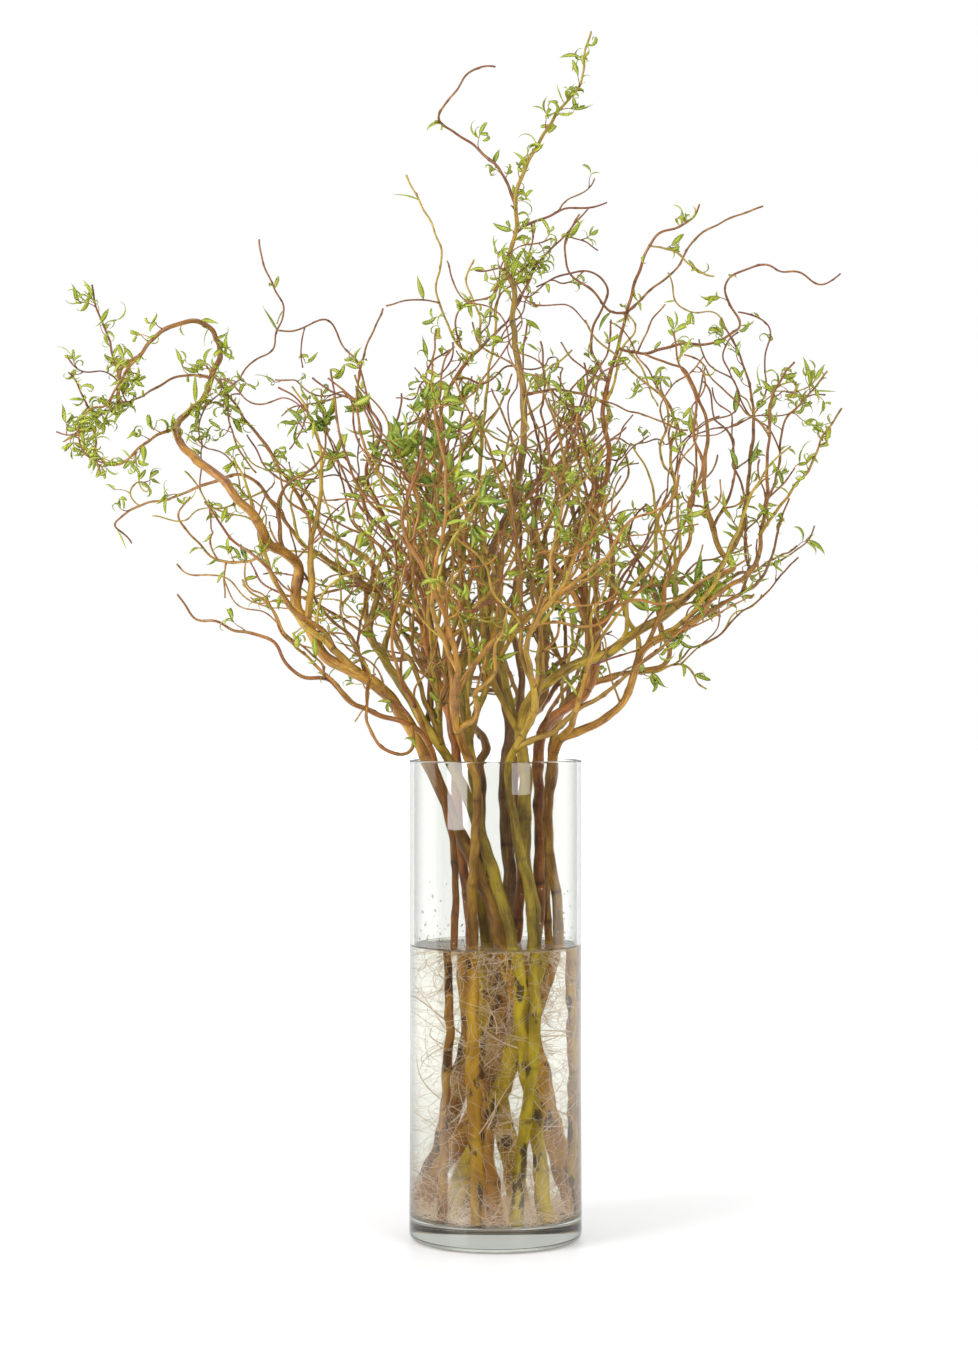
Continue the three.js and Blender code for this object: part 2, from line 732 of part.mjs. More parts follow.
// A closed solid between rings of points, with a single point allowed as the first or last ring
function skin(rings) {
  const positions = [];
  const starts = [];
  for (const ring of rings) {
    starts.push(positions.length / 3);
    for (const point of ring) positions.push(point.x, point.y, point.z);
  }
  const index = [];
  const cap = (start, count, flip) => {
    for (let k = 1; k + 1 < count; k += 1) {
      index.push(...(flip ? [start, start + k + 1, start + k] : [start, start + k, start + k + 1]));
    }
  };
  for (let r = 0; r + 1 < rings.length; r += 1) {
    const count = Math.max(rings[r].length, rings[r + 1].length);
    const low = (k) => starts[r] + (k % rings[r].length);
    const high = (k) => starts[r + 1] + (k % rings[r + 1].length);
    for (let k = 0; k < count; k += 1) {
      const next = (k + 1) % count;
      if (rings[r].length > 1) index.push(low(k), low(next), high(k));
      if (rings[r + 1].length > 1) index.push(low(next), high(next), high(k));
    }
  }
  cap(starts[0], rings[0].length, true);
  cap(starts[rings.length - 1], rings[rings.length - 1].length, false);
  const geometry = new THREE.BufferGeometry();
  geometry.setAttribute("position", new THREE.Float32BufferAttribute(positions, 3));
  geometry.setIndex(index);
  return geometry;
}

// The rings of a tapered tube round some wood, widened by play for a hole. A stem's foot is cut level.
function tubeRings(length, play = 0) {
  const { points, radii, kind } = length;
  const sides = WOOD[kind].sides;
  const last = points.length - 1;
  const widen = play / Math.cos(Math.PI / sides);
  let normal = new THREE.Vector3(1, 0.31, 0.17);
  return points.map((point, i) => {
    const tangent = points[Math.min(last, i + 1)].clone().sub(points[Math.max(0, i - 1)]).normalize();
    if (i === 0 && kind === "stem") tangent.copy(UP);
    normal = normal.clone().addScaledVector(tangent, -normal.dot(tangent)).normalize();
    const across = new THREE.Vector3().crossVectors(tangent, normal);
    const ring = [];
    for (let k = 0; k < sides; k += 1) {
      const angle = (2 * Math.PI * k) / sides;
      ring.push(
        point.clone()
          .addScaledVector(normal, (radii[i] + widen) * Math.cos(angle))
          .addScaledVector(across, (radii[i] + widen) * Math.sin(angle)),
      );
    }
    return ring;
  });
}

const tube = (length) => skin(tubeRings(length));

// The hole for some wood that stands in the water. A stem's goes on through the floor of the water.
function hole(length) {
  const rings = tubeRings(length, GAP);
  if (length.kind !== "stem") return skin(rings);
  const dry = length.points.findIndex((point) => point.z > WATER_LEVEL);
  const below = rings[0].map((point) => point.clone().setZ(VASE.floor / 2));
  return skin([below, ...rings.slice(0, dry + 2)]);
}

// A leaf blade with a keel below its rib
function blade(leaf) {
  const rings = leaf.points.slice(0, -1).map((point, i) => {
    if (i === 0) return [point];
    return [
      point.clone().addScaledVector(leaf.side, -leaf.radii[i]),
      point.clone().addScaledVector(leaf.over, -LEAF.thickness),
      point.clone().addScaledVector(leaf.side, leaf.radii[i]),
    ];
  });
  rings.push([leaf.points[leaf.points.length - 1]]);
  return skin(rings);
}

// A solid from a closed geometry, turned the right way out
function solid(geometry) {
  const bare = geometry.clone();
  bare.deleteAttribute("normal");
  bare.deleteAttribute("uv");
  const merged = mergeVertices(bare);
  const triangles = Uint32Array.from(merged.index.array);
  const build = () => new wasm.Manifold(new wasm.Mesh({
    numProp: 3,
    vertProperties: Float32Array.from(merged.attributes.position.array),
    triVerts: triangles,
  }));
  const result = build();
  if (result.volume() > 0) return result;
  for (let i = 0; i < triangles.length; i += 3) {
    [triangles[i + 1], triangles[i + 2]] = [triangles[i + 2], triangles[i + 1]];
  }
  return build();
}

// The largest body of a solid: sealed hollows are filled and loose scraps dropped
function largest(shape) {
  return shape.decompose().reduce((best, body) => (body.volume() > best.volume() ? body : best));
}

const fuse = (shapes) => shapes.reduce((whole, shape) => whole.add(shape));

function meshOf(shape, name, colour, look) {
  const { vertProperties, triVerts } = shape.getMesh();
  const geometry = new THREE.BufferGeometry();
  geometry.setAttribute("position", new THREE.Float32BufferAttribute(vertProperties, 3));
  geometry.setIndex(Array.from(triVerts));
  geometry.computeVertexNormals();
  const material = new THREE.MeshStandardMaterial({ color: colour, metalness: 0, ...look });
  const mesh = new THREE.Mesh(geometry, material);
  mesh.name = name;
  return mesh;
}

// The vase's profile, from the middle of its foot round the outside to the middle of its floor
function arc(cx, cy, radius, from, to, steps) {
  const points = [];
  for (let i = 0; i <= steps; i += 1) {
    const angle = THREE.MathUtils.degToRad(from + ((to - from) * i) / steps);
    points.push(new THREE.Vector2(cx + radius * Math.cos(angle), cy + radius * Math.sin(angle)));
  }
  return points;
}

function vaseSolid() {
  const { radius, height, floor, footRound, floorRound, rimRound, sides } = VASE;
  const profile = [
    new THREE.Vector2(0, 0),
    ...arc(radius - footRound, footRound, footRound, -90, 0, 3),
    ...arc(radius - rimRound, height - rimRound, rimRound, 0, 90, 2),
    ...arc(BORE + rimRound, height - rimRound, rimRound, 90, 180, 2),
    ...arc(BORE - floorRound, floor + floorRound, floorRound, 0, -90, 3),
    new THREE.Vector2(0, floor),
  ];
  return solid(new THREE.LatheGeometry(profile, sides).rotateX(Math.PI / 2));
}

// The water fills the bore, with a plain hole for each stem and root that stands in it
function waterSolid(lengths) {
  const bottom = VASE.floor + GAP;
  const reach = BORE - GAP;
  const profile = [
    new THREE.Vector2(0, bottom),
    ...arc(reach - VASE.floorRound, bottom + VASE.floorRound, VASE.floorRound, -90, 0, 3),
    new THREE.Vector2(reach, WATER_LEVEL),
    new THREE.Vector2(0, WATER_LEVEL),
  ];
  let water = solid(new THREE.LatheGeometry(profile, VASE.sides).rotateX(Math.PI / 2));
  for (const length of lengths) water = water.subtract(solid(hole(length)));
  return largest(water);
}

// The main run of every stem, then the branches that are listed for it
const mains = STEMS.map((stem, owner) => {
  const points = stem.points.map(openedOut);
  points[0].z = VASE.floor + GAP;
  return wood(owner, "stem", addWave(spaced(points, WOOD.stem.step), owner, stem.wave), stem.radius);
});
bendClear(mains, [], WOOD.stem.room);

function branchOf(owner, branch) {
  const main = mains[owner];
  const [x, , z] = branch.points[0];
  const gaps = main.points.map((point) => {
    const [seenX, seenZ] = seenFromFront(point);
    return Math.hypot(seenX - x, seenZ - z);
  });
  const at = gaps.indexOf(Math.min(...gaps));
  const root = main.points[at];
  const points = branch.points.map(([px, py, pz]) => fromFront([px, root.y + py * DEPTH.branches, pz]));
  points[0] = root.clone();
  const radius = Math.min(branch.radius, main.radii[at] * SLIMMER);
  return wood(owner, "branch", spaced(points, WOOD.branch.step), radius);
}

const branches = STEMS.flatMap((stem, owner) => stem.branches.map((branch) => branchOf(owner, branch)));
bendClear(branches, mains, WOOD.branch.room);

// Boughs, twigs, roots and leaves, stem by stem
const placed = segmentsOf([...mains, ...branches]);
const random = seeded(SEED);
const everywhere = [mains, branches].flat();

function growAll(kind, spec, countOf, leave, allowed) {
  STEMS.forEach((stem, owner) => {
    const own = everywhere.filter((length) => length.owner === owner && length.kind !== "root");
    const hosts = hostsOn(own, leave.from, leave.to);
    everywhere.push(...grow(owner, kind, spec, countOf(stem), hosts, placed, allowed, random));
  });
}

growAll("bough", BOUGH, (stem) => stem.boughs, BOUGHS_LEAVE, inCrown);
growAll("twig", TWIG, (stem) => stem.twigs, TWIGS_LEAVE, inCrown);
growAll("root", ROOT, () => ROOT.count, ROOTS_LEAVE, inWater);

const leaves = [];
STEMS.forEach((_, owner) => {
  const own = everywhere.filter((length) => length.owner === owner);
  const slim = own.filter((length) => length.kind !== "root" && length.kind !== "stem");
  const hosts = hostsOn(slim, RISE, Infinity);
  for (let n = 0; n < LEAF.perStem; n += 1) {
    for (let attempt = 0; attempt < LEAF.tries; attempt += 1) {
      const host = hosts[Math.floor(((n + random()) / LEAF.perStem) * hosts.length)];
      const leaf = leafAt(owner, host, random);
      if (!isClear(leaf, placed, WOOD.twig.room)) continue;
      leaves.push(leaf);
      placed.push(...segmentsOf([leaf]));
      break;
    }
  }
});

// The finished object
const object = new THREE.Group();
const glass = { roughness: 0.05, transparent: true, opacity: 0.35 };
object.add(meshOf(vaseSolid(), "vase", COLOURS.glass, glass));

const wet = everywhere.filter((length) => length.kind === "stem" || length.kind === "root");
object.add(meshOf(waterSolid(wet), "water", COLOURS.water, glass));

STEMS.forEach((stem, owner) => {
  const tubes = everywhere.filter((length) => length.owner === owner).map((length) => solid(tube(length)));
  const blades = leaves.filter((leaf) => leaf.owner === owner).map((leaf) => solid(blade(leaf)));
  const shape = largest(fuse([...tubes, ...blades]));
  object.add(meshOf(shape, stem.name, COLOURS[stem.bark], { roughness: 0.7 }));
});

export default object;
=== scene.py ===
# The looks of curly willow stems in a tall glass cylinder vase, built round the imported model.
# The stems are grown again by the part's own rules, in finer steps, with more leaves, buds and roots.

import math

import bpy
import mathutils
import numpy as np
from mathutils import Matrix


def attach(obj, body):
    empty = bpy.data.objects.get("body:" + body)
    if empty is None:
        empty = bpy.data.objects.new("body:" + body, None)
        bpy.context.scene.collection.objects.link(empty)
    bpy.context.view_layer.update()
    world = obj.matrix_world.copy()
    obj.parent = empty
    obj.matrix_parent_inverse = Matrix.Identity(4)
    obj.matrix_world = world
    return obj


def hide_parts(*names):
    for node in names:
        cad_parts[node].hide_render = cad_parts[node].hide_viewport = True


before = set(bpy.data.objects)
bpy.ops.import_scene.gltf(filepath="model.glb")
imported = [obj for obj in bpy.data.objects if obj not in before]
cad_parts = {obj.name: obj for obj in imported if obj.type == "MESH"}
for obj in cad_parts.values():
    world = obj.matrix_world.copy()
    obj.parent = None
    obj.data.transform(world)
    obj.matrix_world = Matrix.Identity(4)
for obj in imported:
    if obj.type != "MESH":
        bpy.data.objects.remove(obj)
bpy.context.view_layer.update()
MM = 0.001

# The part's driving sizes, in millimetres
RADIUS = 75.0
HEIGHT = 415.0
WALL = 4.0
FLOOR = 20.0
FOOT_ROUND = 6.0
FLOOR_ROUND = 5.0
RIM_ROUND = 1.5
BORE = RADIUS - WALL
WATER_LEVEL = 254.0
GAP = 0.3

# The rules by which the part's stems grow
EYE_X = -6.0
EYE_Z = 473.0
EYE_DISTANCE = 2380.0
DEPTH = dict(gain=2.2, over=150.0, limit=150.0, branches=2.6)
WOOD = dict(
    stem=dict(step=32, tip=0.9, room=2.2),
    branch=dict(step=24, tip=0.8, room=1.8),
    bough=dict(step=32, tip=0.8, room=1.6),
    twig=dict(step=19, tip=0.7, room=1.2),
    root=dict(step=24, tip=0.6, room=1.2),
)
VASE_STEP = 0.42
CURVE_DIVISIONS = 8
THINNING = 1.2
WAVE_IN_VASE = 1.6
WAVE_LENGTH = 150.0
BENDING = dict(rounds=90, share=0.6, own=0.7, beside=0.25, off_glass=1.0)
CROWN_CENTRE = np.array([-10.0, 0.0, 655.0])
CROWN_RADII = np.array([275.0, 240.0, 235.0])
CROWN_LOW = 22.0
RISE = HEIGHT + CROWN_LOW
BOUGH = dict(length=(170, 320), radius=3.4, curl=0.26, lift=0.06, tries=24)
BOUGHS_LEAVE = (420.0, 570.0)
TWIG = dict(length=(32, 70), radius=0.95, curl=0.3, lift=0.04, tries=10)
TWIGS_LEAVE = (460.0, 900.0)
ROOT = dict(length=(50, 110), radius=0.9, curl=0.35, lift=-0.12, tries=14)
ROOTS_PER_STEM = 2
ROOTS_LEAVE = (60.0, 225.0)
ROOT_ROOM = dict(wall=4.0, floor=4.0, surface=8.0)
SLIMMER = 0.8
LEAN = dict(bough=2.0, twig=0.5, root=0.5, leaf=0.9)
TURN = (0.5, 1.1)
LEAVES_PER_STEM = 7
LEAF_LENGTH = (19, 31)
LEAF_WIDTH = (3.6, 5.4)
LEAF_AT = (0.0, 0.3, 0.68, 1.0)
LEAF_OUTLINE = (0.5, 1.0, 0.8, 0.1)
LEAF_CURL = (-0.3, 0.7)
LEAF_TRIES = 8
SEED = 20231
COIL_PHASE = 2.4
UP = np.array([0.0, 0.0, 1.0])

# What the looks add: finer wood, more shoots, leaves and roots
FINE_DIVISIONS = 10
SMOOTHING = 6
ASKEW = (1.0, 0.31, 0.17)
STEP = dict(stem=3.2, branch=3.2, bough=3.4, twig=3.0, root=4.0)
SIDES = dict(stem=12, branch=8, bough=8, twig=6, root=4)
KINKS = dict(stem=0.6, branch=0.7, bough=0.6, twig=0.55)
ADDED_KINKS = dict(bough=3.6, twig=4.2)
ADDED_STRETCH = 1.35
FINE_KINK = 0.7
KINK = dict(fade=25, phase=7, wave=0.7, fine=0.5, wave_lengths=(8.5, 7.3), fine_lengths=(4.3, 3.9))
NODE_GAPS = dict(old=(30.0, 46.0), young=(13.0, 20.0))
NODE_TURN = 2.4
NODE_SWELL = 0.07
NODE_REACH = (0.9, 0.7)
NODE_SHIFT = (0.2, 2.3)
# A lump's size, its length as a share of the thickness and beyond that, and its share of the phase
LUMPS = ((0.045, 4, 3, 1), (0.035, 1.9, 2, 2))
COLLAR = dict(size=0.22, reach=2.5)
RIDGES = dict(size=0.03, count=3, length=17)
SCAR = dict(reach=1.7, least=0.35, behind=0.45, scatter=12.9898)
BUD = dict(old=0.16, young=0.55)
AGE_FROM = 0.9
AGE_TO = 3.6
LIMB = dict(length=(120, 300), radius=(1.8, 2.9), step=9, curl=0.2, lift=0.02, lean=2.2, tries=14)
LIMBS_PER_STEM = 6
SPRAY = dict(length=(50, 160), radius=(0.95, 1.5), step=7, curl=0.25, lift=0.01, lean=1.7, tries=10)
SPRAYS_PER_STEM = 13
# Each kind of added shoot, how many, the thickest wood that carries it, and from where to where
ADDED = (("bough", LIMB, LIMBS_PER_STEM, 9.0, 418, 600), ("twig", SPRAY, SPRAYS_PER_STEM, 3.2, 440, 930))
LEAF_HOSTS = (RISE - 12, 1100, 2.6)
FIRST_HOST = 3
HOST_EVERY = 2
YOUNG_RADIUS = 2.8
CROWN_DEPTH = 215.0
CROWN_MARGIN = 6
CROWN_DIP = 8

# The crown's outline from the front, and where in it leaves grow or don't: x, z and radii
CROWN_X = (-395, -350, -300, -250, -200, -150, -100, -62, -50, 0, 50, 95, 108, 150, 200, 250, 300)
CROWN_TOP = (745, 830, 810, 800, 775, 755, 752, 770, 960, 1010, 1030, 1045, 850, 880, 870, 800, 770)
CROWN_BOTTOM = (700, 640, 600, 560, 510, 470, 440, 430, 428, 425, 425, 430, 432, 460, 505, 560, 640)
BARE = (
    (-57, 870, 36, 66), (-24, 1004, 40, 26), (255, 842, 56, 34), (-240, 535, 60, 30), (190, 700, 26, 60),
    (20, 700, 30, 40), (62, 892, 45, 16), (-180, 795, 30, 22),
)
LEAFY = (
    (-335, 745, 52, 80), (-262, 752, 40, 50), (-300, 690, 50, 40), (-205, 835, 22, 40),
    (15, 930, 40, 40), (20, 850, 40, 30), (62, 1000, 30, 55), (280, 700, 30, 60), (-78, 418, 16, 14),
)
BROAD = (
    (-88, 702, 75, 40), (-30, 655, 30, 60), (150, 552, 40, 28), (18, 962, 20, 16), (-10, 628, 26, 26),
)
LEAFY_Z = (425, 480, 540, 620, 900)
LEAFY_SHARE = (0.05, 0.14, 0.3, 0.46, 0.56)
LEAFY_X = (0, 250)
LEAFY_OUT = (0.85, 1.0)
LEAFY_MIDDLE = -20
BARE_CHANCE = 0.01
LEAF_CHANCE = 0.26
TUFT_CHANCE = 0.6
BROAD_CHANCE = 0.17
TUFT = (2, 5)
SPUR = dict(chance=0.55, length=(5.0, 17.0), step=3, curl=0.3, lift=0.06, lean=0.8, radius=0.5, tip=0.6)
LEAF = dict(lean=(0.3, 1.6), broad=0.7, curls_back=0.25, twist=(-2.4, 2.4), tone=(0.75, 1.4, 0.45))
# Up to what draw a leaf curls how far, in radians
CURLS = ((0.2, (0.6, 2.0)), (0.6, (1.8, 3.4)), (1.0, (3.6, 6.0)))
SUNK = 0.6
PART_LEAF = dict(curl=1.6, twist=0.3)
BLADE_LENGTH = (9.0, 23.0)
BLADE_WIDTH = (0.13, 0.22)
BROAD_LENGTH = (14.0, 27.0)
BROAD_WIDTH = (0.2, 0.32)
BLADE_THICK = 0.16
BLADE_STATIONS = 7
BLADE = dict(fullest=0.75, taper=1.1, stalk=0.1, stiff=0.35, edge=0.12, fold=0.38, end=0.6)
ROOT_LIMIT = 68.0
HAIR = dict(count=46, steps=(10, 44), step=3.6, curl=0.3, sink=0.06, radius=(0.16, 0.3), droop=-0.25)
HAIR_RANGE = (FLOOR + 12, WATER_LEVEL - 3)
HAIRS_RISE = 0.8
ROOT_SLIM = 0.8
MAT = dict(count=380, steps=20, step=4.0, curl=0.34, sink=0.12, radius=0.34, spread=62, low=1.5, deep=7)
SKIM = dict(count=170, steps=14, step=4.0, curl=0.22, sink=0.03, radius=0.3, ring=(25, 22), low=2, deep=6)
STRAND = dict(keep=0.75, fresh=0.65, margin=8, press=0.9, floor=6, rise=0.9, taper=0.65, sides=3)
DROP = dict(
    size=(0.4, 0.9), afloat=0.5, far=69, reach=62, above=4, height=50, sides=8, askew=(0.3, 0.5, 0.81),
)
DROP_DOME = ((0.0, 0.0), (0.55, 0.0), (1.0, 0.35), (0.8, 0.75), (0.4, 0.95), (0.0, 1.0))
BUBBLES = 420
GLASS_SIDES = 128
WETTED = 0.1
# How the water creeps up the glass: how far in from it, and how high
CREEP = ((0, 1.6), (0.5, 0.7), (1.4, 0.15), (3, 0))
# How strongly the root hairs glow: a painted light, as they are no lamp
ROOT_GLOW = 0.2
HOLD = 0.4

# The studio: its floor, its surroundings in each kind of ray, its lamps and its camera
# The floor's glow is painted light, weaker near the vase, which paints shade round it; reflections before
# the vase see a dim painted glow
FLOOR_GLOW = dict(reach=(0.15, 1.4), strength=(0.2, 0.82), mirrored=0.08, before=(-0.15, -0.45))
FLOOR_SIZE = 40
FLOOR_DROP = 0.0005
SKY = dict(through=(0.88, 0.4), around=(0.42, 0.7), ahead=(0.1, 0.6), behind=0.7, in_glass=2.6)
# Each lamp's place, the height it is aimed at, its watts, its width and height, and its colour
LAMPS = (
    ("key", (-1.24, -1.0, 0.88), 0.88, 29, 0.8, 1.2, (1.0, 0.98, 0.97)),
    ("fill", (0.87, -1.34, 0.88), 0.88, 14, 0.7, 1.1, (0.96, 0.98, 1.0)),
    ("top", (0.2, 0.3, 2.3), 0.55, 14, 1.4, 1.4, (1.0, 1.0, 1.0)),
)
CAMERA = dict(place=(-0.0057, -2.380, 0.473), tilt=90.19, lens=72, sensor=36)

# Colours: bark light and dark, dry and under water, then young bark, leaves
BARKS = dict(
    golden=("ac8028", "7a4e18", "f0bc2c", "c8902a"),
    olive=("a88e1e", "745c10", "eed024", "b89a20"),
    brown=("a66626", "724018", "dca848", "b47a30"),
    umber=("886232", "5c3e1e", "cca050", "9c7238"),
)
YOUNG = ("6a3216", "8e581c", "988424")
HIGH = "6c3a1e"
HIGH_Z = (0.52, 0.8)
HIGH_SHARE = 0.7
STREAK, PALE_STREAK, SPECK, DRY_SCAR = "3f2616", "dcaa48", "d8b070", "2f1d14"
ROT, WET_STREAK, WET_SCAR = "4d3322", "5a3f1c", "3a2717"
GREENS = ("a6ae22", "869a1c", "48741a", "c8c844")
LEAF_UNDER, LEAF_RIB = "b4c06a", "c8cc6a"
ROOTS = ("fdf2e2", "e2c8a4", "c0a078")
# The edge colours are painted shade: glass and water grey towards them where they are seen edge on
GLASS = dict(
    clear="eeefec", edge="5c625a", ior=1.5,
    absorbed=(0.64, 0.7, 0.58, 1), density=4.0, ripple=(9.0, 9.0, 5.0),
)
WATER = dict(
    clear="fcfcf8", edge="e6e4dc", ior=1.33,
    absorbed=(0.8, 0.76, 0.6, 1), density=0.8, ripple=(22.0, 22.0, 22.0),
)

